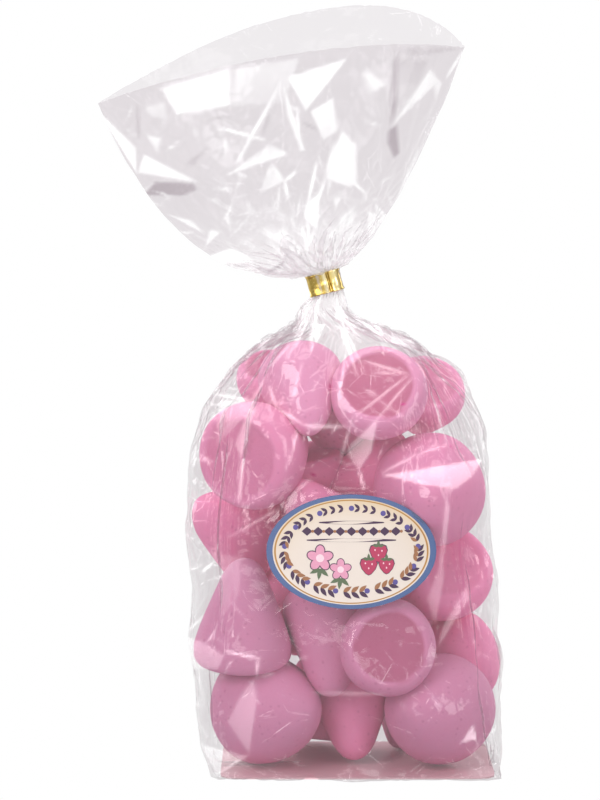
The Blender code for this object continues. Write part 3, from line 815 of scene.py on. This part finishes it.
def facets(u, v, spacing, rng):
    """Heights of a sheet broken into flat facets about as wide as the spacing, with straight creases between."""
    shape = (int(v.max() / spacing) + 4, int(u.max() / spacing) + 4)
    seed_u, seed_v = rng.uniform(0.05, 0.95, (2, *shape))
    turn = rng.uniform(0.0, math.pi, shape)
    column = np.floor(u / spacing).astype(int) + 1
    row = np.floor(v / spacing).astype(int) + 1
    height = np.full(u.shape, 9.0)
    for j in (row - 1, row, row + 1):
        for i in (column - 1, column, column + 1):
            du = u / spacing - (i - 1 + seed_u[j, i])
            dv = v / spacing - (j - 1 + seed_v[j, i])
            along = du * np.cos(turn[j, i]) + dv * np.sin(turn[j, i])
            across = dv * np.cos(turn[j, i]) - du * np.sin(turn[j, i])
            height = np.minimum(height, np.abs(along) + 0.55 * np.abs(across))
    return (height - 0.45) * spacing


def crumple(points, place, rng):
    """Heights that break the sheet into facets, more on the frill and the empty margins than on the filling."""
    steps = np.linalg.norm(np.diff(points, axis=0), axis=-1).mean(axis=1)
    v = np.cumsum(np.concatenate([[0.0], steps]))
    u = np.arange(points.shape[1]) / points.shape[1] * GIRTH
    u, v = np.meshgrid(u, v)
    height = np.zeros(points.shape[:2])
    for spacing, slope in CREASES:
        height += slope * facets(u, v, spacing, rng)
    amount = np.interp(place, *np.transpose(CREASE_AMOUNT))[:, None]
    away = np.abs(points[..., 0] - points[..., 0].mean(axis=1, keepdims=True))
    margin = smooth_step(0.6, 0.95, away / (away.max(axis=1, keepdims=True) + 1e-6))
    bare = smooth_step(1.1, 1.5, label_reach(points[..., 0], points[..., 2])) + (points[..., 1] > 0)
    on_body = (0.15 + 0.85 * margin) * np.clip(bare, 0.0, 1.0)
    amount = np.where((place < 1.0)[:, None], amount * on_body, amount * (1.0 - 0.6 * margin))
    turn = np.arange(points.shape[1]) / points.shape[1]
    return height * amount * smooth_step(0.0, 0.03, np.minimum(turn, 1.0 - turn))


def make_film(kisses, tables):
    """Settles the film from a coarse grid to a fine one. Gives its rings and their places."""
    rng = np.random.RandomState(5)
    points = None
    for level, rounds, stiffness in ((4, 260, 0.10), (2, 200, 0.06), (1, 140, 0.05)):
        columns = COLUMNS // level
        rings, new_place = film_rings(columns, BODY_ROWS // level, NECK_ROWS // level, FRILL_ROWS // level)
        perimeter = ring_lengths(rings)
        most = np.interp(new_place, *np.transpose(GATHER))
        across = np.repeat((np.clip(GIRTH, perimeter * 1.004, perimeter * most) / columns)[:, None], columns, axis=1)
        steps = np.linalg.norm(np.roll(rings, -1, axis=1) - rings, axis=-1)
        own = np.clip(GIRTH / columns, steps * 1.004, steps * most[:, None])
        across = np.where((new_place > 2.0)[:, None], own, across).astype(np.float32)
        gather = smooth_step(1.15, 2.5, GIRTH / perimeter)
        slack = np.where(new_place < 1.0, 1.014 + 0.04 * gather, 1.0 + 0.05 * gather)
        upward = (np.linalg.norm(np.diff(rings, axis=0), axis=-1) * slack[:-1, None]).astype(np.float32)
        folded = rings + outward(rings) * pleats(rings, new_place, np.random.RandomState(5))[..., None]
        if points is None:
            points = folded.astype(np.float32)
        else:
            points = resample(points, place, new_place, columns)
            tied = ((new_place > 0.985) & (new_place <= 2.0)) | (new_place == 3.0)
            points[tied] = folded[tied]
        points += rng.normal(0.0, 0.10 * level, points.shape).astype(np.float32)
        place = new_place
        target = rings.copy()
        front = np.abs(rings[..., 1]) / (np.abs(rings[..., 1]).max(axis=1, keepdims=True) + 1e-6)
        target[..., 1] -= np.where(place < 1.0, 1.5, 0.0)[:, None] * np.sign(rings[..., 1]) * front**4
        settle_film(points, target.astype(np.float32), place, across, upward, kisses, tables, rounds, stiffness)
    fine_place = np.concatenate([place[:-1] + 0.5 * share * np.diff(place) for share in (0, 1)])
    fine_place = np.append(np.sort(fine_place), place[-1])
    points = resample(points, place, fine_place, COLUMNS * 2)
    place = fine_place
    points += (outward(points) * crumple(points, place, rng)[..., None]).astype(np.float32)
    push_out(points[:int((place < 1.0).sum())], kisses, tables)
    np.maximum(points[..., 2], 0.1, out=points[..., 2])
    return points, place


def camera_place():
    away = np.array([0.0, -math.cos(CAMERA_ELEVATION), math.sin(CAMERA_ELEVATION)])
    return CAMERA_AIM + away * CAMERA_DISTANCE


def picture_place(points):
    """Where points of the bag show in the picture, in its pixels."""
    offset = points - CAMERA_AIM
    ahead = np.array([0.0, math.cos(CAMERA_ELEVATION), -math.sin(CAMERA_ELEVATION)])
    upward = np.array([0.0, math.sin(CAMERA_ELEVATION), math.cos(CAMERA_ELEVATION)])
    scale = CAMERA_LENS / SENSOR_SIZE * PICTURE_SIZE[1] / (CAMERA_DISTANCE + offset @ ahead)
    return PICTURE_SIZE / 2.0 + np.stack([offset[..., 0] * scale, -(offset @ upward) * scale], axis=-1)


def fold_strength(places, fold):
    """How strong one listed mark, a painted highlight or a dim patch, is at each place: its own strength inside its
    outline, with a soft edge.
    """
    strength, far_share, *numbers = fold
    corners = np.reshape(numbers, (-1, 2)).astype(float)
    crest = corners[1] - corners[0]
    if len(corners) == 2:
        share = np.clip((places - corners[0]) @ crest / (crest @ crest), 0.0, 1.0)
        away = np.linalg.norm(places - corners[0] - share[..., None] * crest, axis=-1)
        return strength * np.clip(1.5 - away / LINE_HALF_WIDTH, 0.0, 1.0) * (0.4 + 0.6 * np.sin(math.pi * share))
    middle = corners.mean(axis=0)
    inside = np.full(places.shape[:-1], np.inf)
    for first, second in zip(corners, np.roll(corners, -1, axis=0)):
        side = np.array([second[1] - first[1], first[0] - second[0]])
        side /= np.linalg.norm(side) * np.sign((middle - first) @ side)
        inside = np.minimum(inside, (places - first) @ side)
    side = np.array([crest[1], -crest[0]]) / np.linalg.norm(crest)
    reach = np.abs((corners - corners[0]) @ side).max()
    fade = 1.0 - (1.0 - far_share) * np.clip(np.abs((places - corners[0]) @ side) / reach, 0.0, 1.0)
    return strength * fade * np.clip(0.5 + inside / FOLD_SOFTNESS, 0.0, 1.0)


def small_painted_highlights(rng, count, low, high, size):
    """Small three-cornered painted highlights scattered between two corners of the picture."""
    folds = []
    for _ in range(count):
        middle = rng.uniform(low, high)
        turn = rng.uniform(0.0, 2.0 * math.pi)
        long = rng.uniform(0.5, 1.0) * size
        wide = rng.uniform(0.12, 0.4) * long
        along = np.array([math.cos(turn), math.sin(turn)])
        side = np.array([-along[1], along[0]])
        corners = (middle - along * long, middle + along * long, middle + along * rng.uniform(-0.4, 0.4) * long + side * wide)
        folds.append((rng.uniform(0.3, 0.85), rng.uniform(0.2, 0.9), *np.concatenate(corners)))
    return folds


def painted_highlight_rays(rng, count, centre, angles, start, length):
    """Thin painted highlights that run out from the tie, between two angles in degrees, downwards from the right."""
    folds = []
    for _ in range(count):
        angle = math.radians(rng.uniform(*angles))
        way = np.array([math.cos(angle), math.sin(angle)])
        near = np.array(centre) + way * rng.uniform(*start)
        folds.append((rng.uniform(0.35, 0.9), 1.0, *near, *(near + way * rng.uniform(*length))))
    return folds


def strongest(places, folds):
    total = np.zeros(places.shape[:-1])
    for fold in folds:
        total = np.maximum(total, fold_strength(places, fold))
    return total


def film_marks(points, place):
    """What the film's material needs at each point: its painted highlights, how dim it is, how veiled it is with a
    painted sheen over the shoulders, and the way that a painted highlight turns the sheet, which is half way between
    the light and the camera. The back has the same highlights."""
    facing = np.where(panel_directions(points.shape[1])[1] < 0, 1.0, -1.0)[:, None] * (0.0, 1.0, 0.0) + (1.0, 0.0, 1.0)
    seen = points.copy()
    seen[..., 1] = np.where(facing[:, 1] > 0, points[..., 1], -points[..., 1])
    places = picture_place(seen)
    on_frill = place[:, None] > 2.0
    marks = np.zeros((*points.shape[:2], 4), np.float32)
    rng = np.random.RandomState(8)
    frill = [*FRILL_PAINTED_HIGHLIGHTS]
    body = [*BODY_PAINTED_HIGHLIGHTS]
    for count, low, high, size in FRILL_SCATTER:
        frill += small_painted_highlights(rng, count, low, high, size)
    for count, low, high, size in BODY_SCATTER:
        body += small_painted_highlights(rng, count, low, high, size)
    frill += painted_highlight_rays(rng, 16, (313, 268), (-172.0, -10.0), (8.0, 50.0), (8.0, 36.0))
    body += painted_highlight_rays(rng, 18, (324, 284), (20.0, 160.0), (12.0, 60.0), (12.0, 60.0))
    # Painted highlights go in the first channel, dim patches in the second, and the veil with its painted sheen in the
    # third.
    marks[..., 0] = np.where(on_frill, strongest(places, frill), strongest(places, body))
    marks[..., 1] = np.where(on_frill, strongest(places, DIM_FOLDS), 0.0)
    marks[..., 2] = np.interp(place, *np.transpose(VEIL_AND_PAINTED_SHEEN))[:, None]
    marks[..., 3] = 1.0
    # The painted highlights turn the shading normal half way between the key light and the camera.
    to_light = KEY_PLACE - seen
    to_light /= np.linalg.norm(to_light, axis=-1, keepdims=True)
    to_camera = camera_place() - seen
    to_camera /= np.linalg.norm(to_camera, axis=-1, keepdims=True)
    halfway = to_light + to_camera
    halfway *= facing / np.linalg.norm(halfway, axis=-1, keepdims=True)
    folded = marks[..., 0] > 0.0
    near = folded | np.roll(folded, 1, axis=1) | np.roll(folded, -1, axis=1)
    near[1:-1] |= folded[2:] | folded[:-2]
    return marks, (halfway - outward(points)) * near[..., None]


def film_object(name, points, marks, turn, material, closed=False):
    """A tube of film from its rings of points, closed across its first ring if it is the base."""
    if closed:
        middle = points[0].mean(axis=0)
        inner = [middle + (points[0] - middle) * share for share in (0.02, 0.25, 0.5, 0.75, 0.93)]
        points = np.concatenate([np.array(inner), points])
        marks = np.concatenate([np.zeros((len(inner), *marks.shape[1:])), marks])
        turn = np.concatenate([np.zeros((len(inner), *turn.shape[1:])), turn])
    rows, columns = points.shape[:2]
    film = new_object(name, points.reshape(-1, 3), grid_faces(rows, columns), material)
    for attribute_name, kind, field, values in (
        ("mark", "FLOAT_COLOR", "color", marks), ("turn", "FLOAT_VECTOR", "vector", turn),
    ):
        attribute = film.data.attributes.new(attribute_name, kind, "POINT")
        attribute.data.foreach_set(field, values.astype(np.float32).reshape(-1))
    return film


def film_material(name, tint, haze, gloss_share, highlight_share):
    """Clear film: most light goes straight through, and the facets of its creases catch the lights. Painted highlights
    turn its tint white and add a gloss turned to one of the lights, and where its folds crowd together it is white,
    with a painted sheen over the shoulders."""
    s = Shader(name)
    place = s.node("TexCoord").outputs["Object"]
    bent = s.node("VectorMath", {"operation": "ADD"})
    wander = s.node("TexNoise", Vector=place, Scale=30.0, Detail=2.0).outputs["Color"]
    s.put(bent.inputs[0], place)
    s.put(bent.inputs[1], s.node("VectorMath", {"operation": "SCALE"}, Vector=wander, Scale=0.012).outputs[0])
    height = 0.0
    for density, metric, share in ((55.0, "MANHATTAN", 1.0), (110.0, "CHEBYCHEV", 0.45), (260.0, "MANHATTAN", 0.12)):
        cells = s.node(
            "TexVoronoi", {"feature": "F1", "distance": metric}, Vector=bent.outputs[0], Scale=density,
        ).outputs["Distance"]
        height = s.math("ADD", height, s.math("MULTIPLY", cells, share))
    ridge = 0.0
    for density, width in ((42.0, 0.020), (95.0, 0.035)):
        edge = s.node("TexVoronoi", {"feature": "DISTANCE_TO_EDGE"}, Vector=place, Scale=density).outputs["Distance"]
        ridge = s.math("MAXIMUM", ridge, s.math("SUBTRACT", 1.0, s.math("DIVIDE", edge, width), clamp=True))
    ridge = s.math("MULTIPLY", ridge, s.ramp(s.noise(26.0, 2.0), (0.45, (0, 0, 0)), (0.62, (1, 1, 1))))
    normal = s.node("Bump", Height=height, Strength=0.18, Distance=0.004).outputs[0]
    normal = s.node("Bump", Height=ridge, Strength=1.0, Distance=0.00022, Normal=normal).outputs[0]
    marks = s.node("SeparateColor", Color=s.node("Attribute", {"attribute_name": "mark"}).outputs["Color"])
    painted_highlight, dim, veil_and_painted_sheen = marks.outputs
    facing = s.node("LayerWeight", Blend=0.5, Normal=normal).outputs["Facing"]
    edge = s.math("ADD", s.math("MULTIPLY", s.math("POWER", facing, 5.0), 0.25), gloss_share, clamp=True)
    # The veil lightens the tint: the folds crowding at the tie, and a painted sheen over the shoulders.
    colour = s.mix(s.math("MAXIMUM", veil_and_painted_sheen, s.math("POWER", facing, 2.0)), tint, (0.975, 0.97, 0.972, 1.0))
    colour = s.mix(dim, colour, (0.62, 0.57, 0.60, 1.0))
    # Painted highlight: the tint turns white where a highlight is listed.
    colour = s.mix(painted_highlight, colour, (1.0, 1.0, 1.0, 1.0))
    clear = s.node("BsdfTransparent", Color=colour)
    milk = s.node("BsdfDiffuse")
    milk.inputs["Color"].default_value = (0.93, 0.92, 0.925, 1.0)
    # The veil adds milk: the folds crowding at the tie, and a painted sheen over the shoulders.
    cloudy = s.math("ADD", s.math("MULTIPLY", veil_and_painted_sheen, 0.20), haze)
    through = s.node("MixShader", {}, **{"0": cloudy, "1": clear.outputs[0], "2": milk.outputs[0]})
    gloss = s.node("BsdfGlossy", Roughness=0.09, Normal=normal)
    sheet = s.node("MixShader", {}, **{"0": edge, "1": through.outputs[0], "2": gloss.outputs[0]})
    turn = s.node("VectorMath", {"operation": "ADD"})
    s.put(turn.inputs[0], s.node("NewGeometry").outputs["Normal"])
    s.put(turn.inputs[1], s.node("Attribute", {"attribute_name": "turn"}).outputs["Vector"])
    turned = s.node("VectorMath", {"operation": "NORMALIZE"}, Vector=turn.outputs[0]).outputs[0]
    # Painted highlight: a gloss with its normal turned to the key light, as strong as the listed highlight.
    fold = s.node("BsdfGlossy", Roughness=0.16, Normal=turned)
    outside_only = s.math("SUBTRACT", 1.0, s.node("NewGeometry").outputs["Backfacing"])
    share = s.math("MULTIPLY", s.math("MULTIPLY", painted_highlight, outside_only), highlight_share)
    return s.finish(s.node("MixShader", {}, **{"0": share, "1": sheet.outputs[0], "2": fold.outputs[0]}).outputs[0])


def add_film(kisses, tables):
    points, place = make_film(kisses, tables)
    marks, turn = film_marks(points, place)
    split = int(np.searchsorted(place, 1.5))
    low = slice(0, split + 1)
    high = slice(split, None)
    body_film = film_material("film", (0.82, 0.80, 0.81, 1.0), 0.03, 0.055, 0.10)
    frill_film = film_material("frill_film", (0.86, 0.835, 0.85, 1.0), 0.04, 0.022, 0.05)
    body = film_object("film_body", points[low], marks[low], turn[low], body_film, closed=True)
    frill = film_object("film_frill", points[high], marks[high], turn[high], frill_film)
    for piece, node, slot in ((body, "bag_body", "filled_film"), (frill, "bag_frill", "clear_film")):
        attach(piece, "root")
        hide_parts(node)


# Base card and tie

def add_card():
    """The stiff card in the base, with rounded corners, just above the film."""
    s = Shader("base_card")
    # Painted shade and reflection: the card is tan-white, and its darker pink stands in for the shade in the bag and
    # the meringues' colour reflected in it.
    colour = s.mix(s.noise(400.0, 3.0), (0.85, 0.57, 0.61, 1.0), (0.78, 0.50, 0.54, 1.0))
    shader = s.node("BsdfPrincipled", Base_Color=colour, Roughness=0.35)
    material = s.finish(shader.outputs[0])
    turn = np.arange(96) * 2.0 * math.pi / 96
    x, y = superellipse(np.cos(turn), np.sin(turn), 14.0)
    outline = np.stack([x * (BASE_WIDTH / 2.0 - 1.6) + 0.75, y * (BASE_DEPTH / 2.0 - 1.4)], axis=1)
    vertices = [(px, py, pz) for pz in (0.35, 0.95) for px, py in outline]
    faces = [tuple(range(95, -1, -1)), tuple(range(96, 192))]
    faces += [(i, (i + 1) % 96, 96 + (i + 1) % 96, 96 + i) for i in range(96)]
    card = new_object("base_card", vertices, faces, material, smooth=False)
    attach(card, "root")


def gold_material():
    """Gold metal with painted reflections across the strip: dark olive bands, a near-white highlight with a dark line
    beside it and a bright band towards the right, over paler pits and darker tarnish at random.
    """
    s = Shader("gold_tie")
    place = s.node("SeparateXYZ", Vector=s.node("TexCoord").outputs["Object"])
    along = s.math("ADD", s.math("MULTIPLY", place.outputs[0], math.cos(TIE_TILT)),
                   s.math("MULTIPLY", place.outputs[2], math.sin(TIE_TILT)))
    middle = (TIE_CENTRE[0] * math.cos(TIE_TILT) + TIE_CENTRE[2] * math.sin(TIE_TILT)) * MM
    across = s.math("ADD", s.math("DIVIDE", s.math("SUBTRACT", along, middle), NECK_HALF_WIDTH * MM * 2.4), 0.5, clamp=True)
    painted_dark_reflection = (0.30, 0.21, 0.045, 1.0)
    gold = (0.88, 0.66, 0.20, 1.0)
    # Painted reflections across the strip: dark olive bands where the metal mirrors dark, a near-white highlight, a
    # dark line, and a bright band.
    colour = s.ramp(
        across, (0.0, gold), (0.12, painted_dark_reflection), (0.34, (0.42, 0.30, 0.07)), (0.44, (0.62, 0.45, 0.12)), (0.52, (1.0, 0.93, 0.62)),
        (0.60, (0.74, 0.54, 0.15)), (0.64, (0.20, 0.13, 0.03)), (0.68, gold), (0.80, (1.0, 0.88, 0.48)), (0.92, painted_dark_reflection),
    )
    pits = s.math("GREATER_THAN", s.noise(1900.0, 3.0, 0.6), 0.60)
    colour = s.mix(s.math("MULTIPLY", pits, 0.45), colour, (0.95, 0.80, 0.40, 1.0))
    colour = s.mix(s.math("MULTIPLY", s.noise(500.0, 2.0), 0.35), colour, (0.46, 0.32, 0.08, 1.0))
    rough = s.math("ADD", s.math("MULTIPLY", s.noise(900.0, 4.0, 0.6), 0.18), 0.12)
    shader = s.node(
        "BsdfPrincipled", Base_Color=colour, Roughness=rough, Normal=s.bump(s.noise(1400.0, 3.0), 0.25, 0.0001),
    )
    shader.inputs["Metallic"].default_value = 1.0
    return s.finish(shader.outputs[0])


def add_tie():
    """The gold clip: a strip round the neck, rolled at both edges, with its end curled into a bead at the right."""
    x_share, y_share = panel_directions(COLUMNS)
    half = TIE_HEIGHT / 2.0
    profile = (
        (-half + 0.1, 0.1), (-half, 0.3), (-half, 0.85), (-half + 0.25, 1.05), (-half + 0.55, 1.0),
        (-half + 0.8, 0.75), (half - 0.8, 0.75), (half - 0.55, 1.0), (half - 0.25, 1.05), (half, 0.85),
        (half, 0.3), (half - 0.1, 0.1),
    )
    across = superellipse(x_share, y_share, NECK_SQUARENESS)[0] * (NECK_HALF_WIDTH + 0.9)
    front = smooth_step(0.0, 0.5, -y_share)
    groove = 0.55 * np.exp(-((across - TIE_GROOVE) / 0.45) ** 2)
    bead = 1.1 * np.sqrt(np.clip(1.0 - ((across - TIE_BEAD) / TIE_BEAD_RADIUS) ** 2, 0.0, 1.0))
    relief = (bead - groove) * front
    rings = []
    for along, out in profile:
        ring = neck_ring(along, NECK_HALF_WIDTH + out, NECK_HALF_DEPTH + out, x_share, y_share)
        ring[:, 1] -= relief * smooth_step(0.1, 0.7, out)
        rings.append(ring)
    rings.append(rings[0])
    tie = new_object("tie_clip", np.array(rings).reshape(-1, 3), grid_faces(len(rings), COLUMNS), gold_material())
    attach(tie, "root")
    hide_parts("tie_band")


# Label

def label_material():
    """Printed paper: a blue border, a thin gold line, and a cream field that darkens towards the top."""
    s = Shader("label_paper")
    place = s.node("SeparateXYZ", Vector=s.node("TexCoord").outputs["Object"])
    x = s.math("DIVIDE", s.math("SUBTRACT", place.outputs[0], LABEL_CENTRE[0] * MM), LABEL_HALF_WIDTH * MM)
    z = s.math("DIVIDE", s.math("SUBTRACT", place.outputs[2], LABEL_CENTRE[2] * MM), LABEL_HALF_HEIGHT * MM)
    reach = s.math("SQRT", s.math("ADD", s.math("MULTIPLY", x, x), s.math("MULTIPLY", z, z)))
    cream = srgb(221, 210, 200)
    tan = srgb(206, 178, 128)
    rim = s.math("MULTIPLY", s.math("POWER", reach, 3.0), s.math("ADD", s.math("MULTIPLY", z, 0.75), 0.35, clamp=True))
    field = s.mix(s.math("MULTIPLY", rim, 0.9, clamp=True), cream, tan)
    print_noise = s.noise(2200.0, 2.0)
    field = s.mix(s.math("MULTIPLY", print_noise, 0.12), field, srgb(190, 176, 160))
    blue = s.mix(print_noise, srgb(68, 90, 134), srgb(86, 107, 149))
    colour = s.ramp(reach, (0.0, (0, 0, 0)), (0.885, (0, 0, 0)), (0.889, (1, 1, 1)), (0.905, (1, 1, 1)), (0.909, (0, 0, 0)))
    colour = s.mix(colour, field, srgb(170, 122, 52))
    inner = s.math("GREATER_THAN", reach, 0.925)
    colour = s.mix(inner, colour, blue)
    shader = s.node("BsdfPrincipled", Base_Color=colour, Roughness=0.3, Normal=s.bump(print_noise, 0.06, 0.0001))
    return s.finish(shader.outputs[0])


def plain_material(name, colour, roughness=0.45):
    s = Shader(name)
    tone = s.mix(s.noise(1500.0, 3.0), colour, tuple(0.8 * value for value in colour[:3]) + (1.0,))
    return s.finish(s.node("BsdfPrincipled", Base_Color=tone, Roughness=roughness).outputs[0])


def oval(x, z, half_width, half_height, tilt=0.0, count=20):
    turn = np.arange(count) * 2.0 * math.pi / count
    u = half_width * np.cos(turn)
    v = half_height * np.sin(turn)
    return [(x + a * math.cos(tilt) - b * math.sin(tilt), z + a * math.sin(tilt) + b * math.cos(tilt)) for a, b in zip(u, v)]


def leaf(x, z, length, width, tilt):
    """A pointed leaf that starts at a point and grows the way of its tilt."""
    share = np.linspace(0.0, 1.0, 9)
    half = 0.5 * width * np.sin(math.pi * share**0.8)
    outline = [(a * length, b) for a, b in zip(share, half)] + [(a * length, -b) for a, b in zip(share[-2:0:-1], half[-2:0:-1])]
    return [(x + a * math.cos(tilt) - b * math.sin(tilt), z + a * math.sin(tilt) + b * math.cos(tilt)) for a, b in outline]


def ribbon(points, width):
    """A band of even width with tapered ends along a line of points."""
    points = np.array(points, float)
    way = np.gradient(points, axis=0)
    way /= np.linalg.norm(way, axis=1, keepdims=True)
    side = np.stack([-way[:, 1], way[:, 0]], axis=1)
    half = 0.5 * width * np.sin(math.pi * np.linspace(0.04, 0.96, len(points)))[:, None] ** 0.6
    return np.concatenate([points + side * half, (points - side * half)[::-1]]).tolist()


def both_sides(x, z, size, half):
    """A closed outline from its right half, given from the bottom to the top for a size of 1."""
    left = [(-a, b) for a, b in half[-2:0:-1]]
    return [(x + a * size, z + b * size) for a, b in half + left]


def drawn_berry(x, z, size):
    """A small drawing of a berry."""
    half = [(0.0, 0.0), (0.16, 0.08), (0.38, 0.34), (0.5, 0.66), (0.42, 0.9), (0.2, 1.0), (0.0, 0.96)]
    return both_sides(x, z, size, half)


def label_drawings():
    """Outlines on the label, from its middle, for each printing colour: a wreath all round, a chain of lozenges
    between two bars, two blossoms, and a bunch of berries."""
    inks = {name: [] for name in ("plum", "tan", "pink", "rose", "red", "violet", "green")}
    plum = inks["plum"]
    count = 52
    for k in range(count):
        angle = 2.0 * math.pi * k / count
        low = 0.5 - 0.5 * math.sin(angle)
        x = (25.2 - 0.8 * low) * math.cos(angle)
        z = (16.2 - 1.2 * low) * math.sin(angle)
        along = math.atan2(16.2 * math.cos(angle), -25.2 * math.sin(angle))
        long = 2.7 + 1.3 * low
        if k % 4 == 1:
            inks["violet"].append(oval(x, z, 1.0, 1.0))
        else:
            plum.append(leaf(x, z, long, 0.42 * long, along - 0.65))
            inks["tan" if low > 0.35 else "plum"].append(leaf(x, z, 0.9 * long, 0.4 * long, along + 0.65))
    for k in range(-4, 5):
        plum.append(oval(4.1 * k, 7.6, 2.0, 1.7, 0.0, 4))
        inks["tan"].append(oval(4.1 * k + 2.05, 7.6, 0.55, 0.55))
    for z, half_width in ((4.3, 16.5), (10.9, 12.0)):
        plum.append(ribbon(np.stack([np.linspace(-half_width, half_width, 31), np.full(31, z)], axis=1), 1.3))
    for x, z, size in ((-11.6, -2.4, 4.4), (-4.0, -6.6, 3.6)):
        for k in range(5):
            petal = 2.0 * math.pi * k / 5 + 0.3
            middle = (x + 0.62 * size * math.cos(petal), z + 0.62 * size * math.sin(petal))
            plum.append(oval(*middle, 0.56 * size, 0.44 * size, petal))
            inks["pink"].append(oval(*middle, 0.48 * size, 0.36 * size, petal))
        inks["rose"].append(oval(x, z, 0.34 * size, 0.34 * size))
        inks["green"] += [leaf(x, z - 0.9 * size, 4.2, 1.6, math.radians(turn)) for turn in (205.0, 262.0, 318.0)]
    for x, z, size in ((6.4, -8.6, 6.2), (13.0, -8.2, 5.6), (10.0, -3.8, 6.4)):
        plum.append(drawn_berry(x, z - 0.25, size * 1.1))
        inks["red"].append(drawn_berry(x, z, size))
        inks["rose"] += [oval(x + a * size, z + b * size, 0.25, 0.35) for a, b in ((-0.2, 0.7), (0.2, 0.65), (0.0, 0.4))]
        inks["green"] += [leaf(x, z + 0.9 * size, 2.4, 1.1, math.radians(turn)) for turn in (15.0, 90.0, 165.0)]
    return inks


def add_label_print():
    """The label's generic design, as thin layers of ink just proud of the paper."""
    inks = {
        "plum": (srgb(72, 48, 76), 0.05), "tan": (srgb(160, 112, 78), 0.07), "pink": (srgb(226, 158, 184), 0.09),
        "rose": (srgb(247, 214, 224), 0.12), "red": (srgb(184, 62, 96), 0.08), "violet": (srgb(94, 84, 150), 0.06),
        "green": (srgb(96, 112, 84), 0.09),
    }
    for name, outlines in label_drawings().items():
        colour, proud = inks[name]
        vertices = []
        faces = []
        for outline in outlines:
            start = len(vertices)
            count = len(outline)
            for depth in (proud, -0.05):
                for x, z in outline:
                    x += LABEL_CENTRE[0]
                    vertices.append((x, label_back(x) - LABEL_THICKNESS - depth, z + LABEL_CENTRE[2]))
            faces.append(tuple(range(start, start + count)))
            for i in range(count):
                j = (i + 1) % count
                faces.append((start + i, start + count + i, start + count + j, start + j))
        ink = new_object("label_" + name, vertices, faces, plain_material("ink_" + name, colour), smooth=False)
        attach(ink, "root")


# Stage, lights and camera

def add_stage():
    s = Shader("pale_floor")
    ground = s.node("BsdfDiffuse")
    ground.inputs["Color"].default_value = (0.62, 0.60, 0.61, 1.0)
    glow = s.node("Emission")
    glow.inputs["Strength"].default_value = 1.0
    path = s.node("LightPath")
    mirrored = s.math("MULTIPLY", path.outputs["Is Glossy Ray"], 0.85)
    seen = s.math("MAXIMUM", path.outputs["Is Camera Ray"], mirrored)
    material = s.finish(s.node("MixShader", {}, **{"0": seen, "1": ground.outputs[0], "2": glow.outputs[0]}).outputs[0])
    size = 900.0
    floor = new_object(
        "floor", [(-size, -size, -0.05), (size, -size, -0.05), (size, size, -0.05), (-size, size, -0.05)],
        [(0, 1, 2, 3)], material, smooth=False,
    )


def add_light(name, place, aim, width, height, power, colour=(1.0, 1.0, 1.0)):
    data = bpy.data.lights.new(name, "AREA")
    data.shape = "RECTANGLE"
    data.size = width
    data.size_y = height
    data.energy = power
    data.color = colour
    light = bpy.data.objects.new(name, data)
    bpy.context.scene.collection.objects.link(light)
    light.location = place
    light.rotation_euler = (Vector(aim) - Vector(place)).to_track_quat("-Z", "Y").to_euler()
    return light


def add_world():
    world = bpy.data.worlds.new("studio")
    bpy.context.scene.world = world
    world.use_nodes = True
    tree = world.node_tree
    tree.nodes.clear()
    output = tree.nodes.new("ShaderNodeOutputWorld")
    seen = tree.nodes.new("ShaderNodeBackground")
    seen.inputs["Color"].default_value = (1.0, 1.0, 1.0, 1.0)
    around = tree.nodes.new("ShaderNodeBackground")
    around.inputs["Color"].default_value = (0.46, 0.45, 0.46, 1.0)
    mirrored = tree.nodes.new("ShaderNodeBackground")
    mirrored.inputs["Color"].default_value = (0.86, 0.84, 0.86, 1.0)
    path = tree.nodes.new("ShaderNodeLightPath")
    mix = tree.nodes.new("ShaderNodeMixShader")
    tree.links.new(path.outputs["Is Glossy Ray"], mix.inputs[0])
    tree.links.new(around.outputs[0], mix.inputs[1])
    tree.links.new(mirrored.outputs[0], mix.inputs[2])
    last = tree.nodes.new("ShaderNodeMixShader")
    tree.links.new(path.outputs["Is Camera Ray"], last.inputs[0])
    tree.links.new(mix.outputs[0], last.inputs[1])
    tree.links.new(seen.outputs[0], last.inputs[2])
    tree.links.new(last.outputs[0], output.inputs["Surface"])


def add_camera():
    data = bpy.data.cameras.new("camera")
    data.sensor_width = SENSOR_SIZE
    data.sensor_fit = "AUTO"
    data.lens = CAMERA_LENS
    camera = bpy.data.objects.new("camera", data)
    bpy.context.scene.collection.objects.link(camera)
    camera.location = camera_place() * MM
    camera.rotation_euler = (math.pi / 2.0 - CAMERA_ELEVATION, 0.0, 0.0)
    bpy.context.scene.camera = camera


def add_lights():
    middle = (-0.01, 0.0, 0.12)
    add_light("key", KEY_PLACE * MM, middle, 0.6, 0.8, 8.2)
    add_light("fill", (0.9, -0.8, 0.45), middle, 0.5, 0.9, 4.1)
    add_light("front", (-0.15, -1.15, 0.10), middle, 0.8, 0.25, 1.4)
    add_light("top", (0.0, 0.0, 0.85), middle, 0.9, 0.7, 4.4)
    add_light("back_left", (-0.8, 0.7, 0.5), middle, 0.4, 0.9, 4.0)
    add_light("back_right", (0.8, 0.7, 0.5), middle, 0.4, 0.9, 4.0)


def main():
    bpy.context.scene.view_settings.view_transform = "Standard"
    bpy.context.scene.cycles.transparent_max_bounces = 24
    add_camera()
    add_world()
    add_lights()
    add_stage()
    kisses, tables = prepare_meringues()
    meringues = add_meringues(kisses, meringue_material())
    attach(meringues, "root")
    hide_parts("bag_body")
    add_film(kisses, tables)
    add_card()
    add_tie()
    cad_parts["label"].material_slots[0].material = label_material()
    add_label_print()


main()
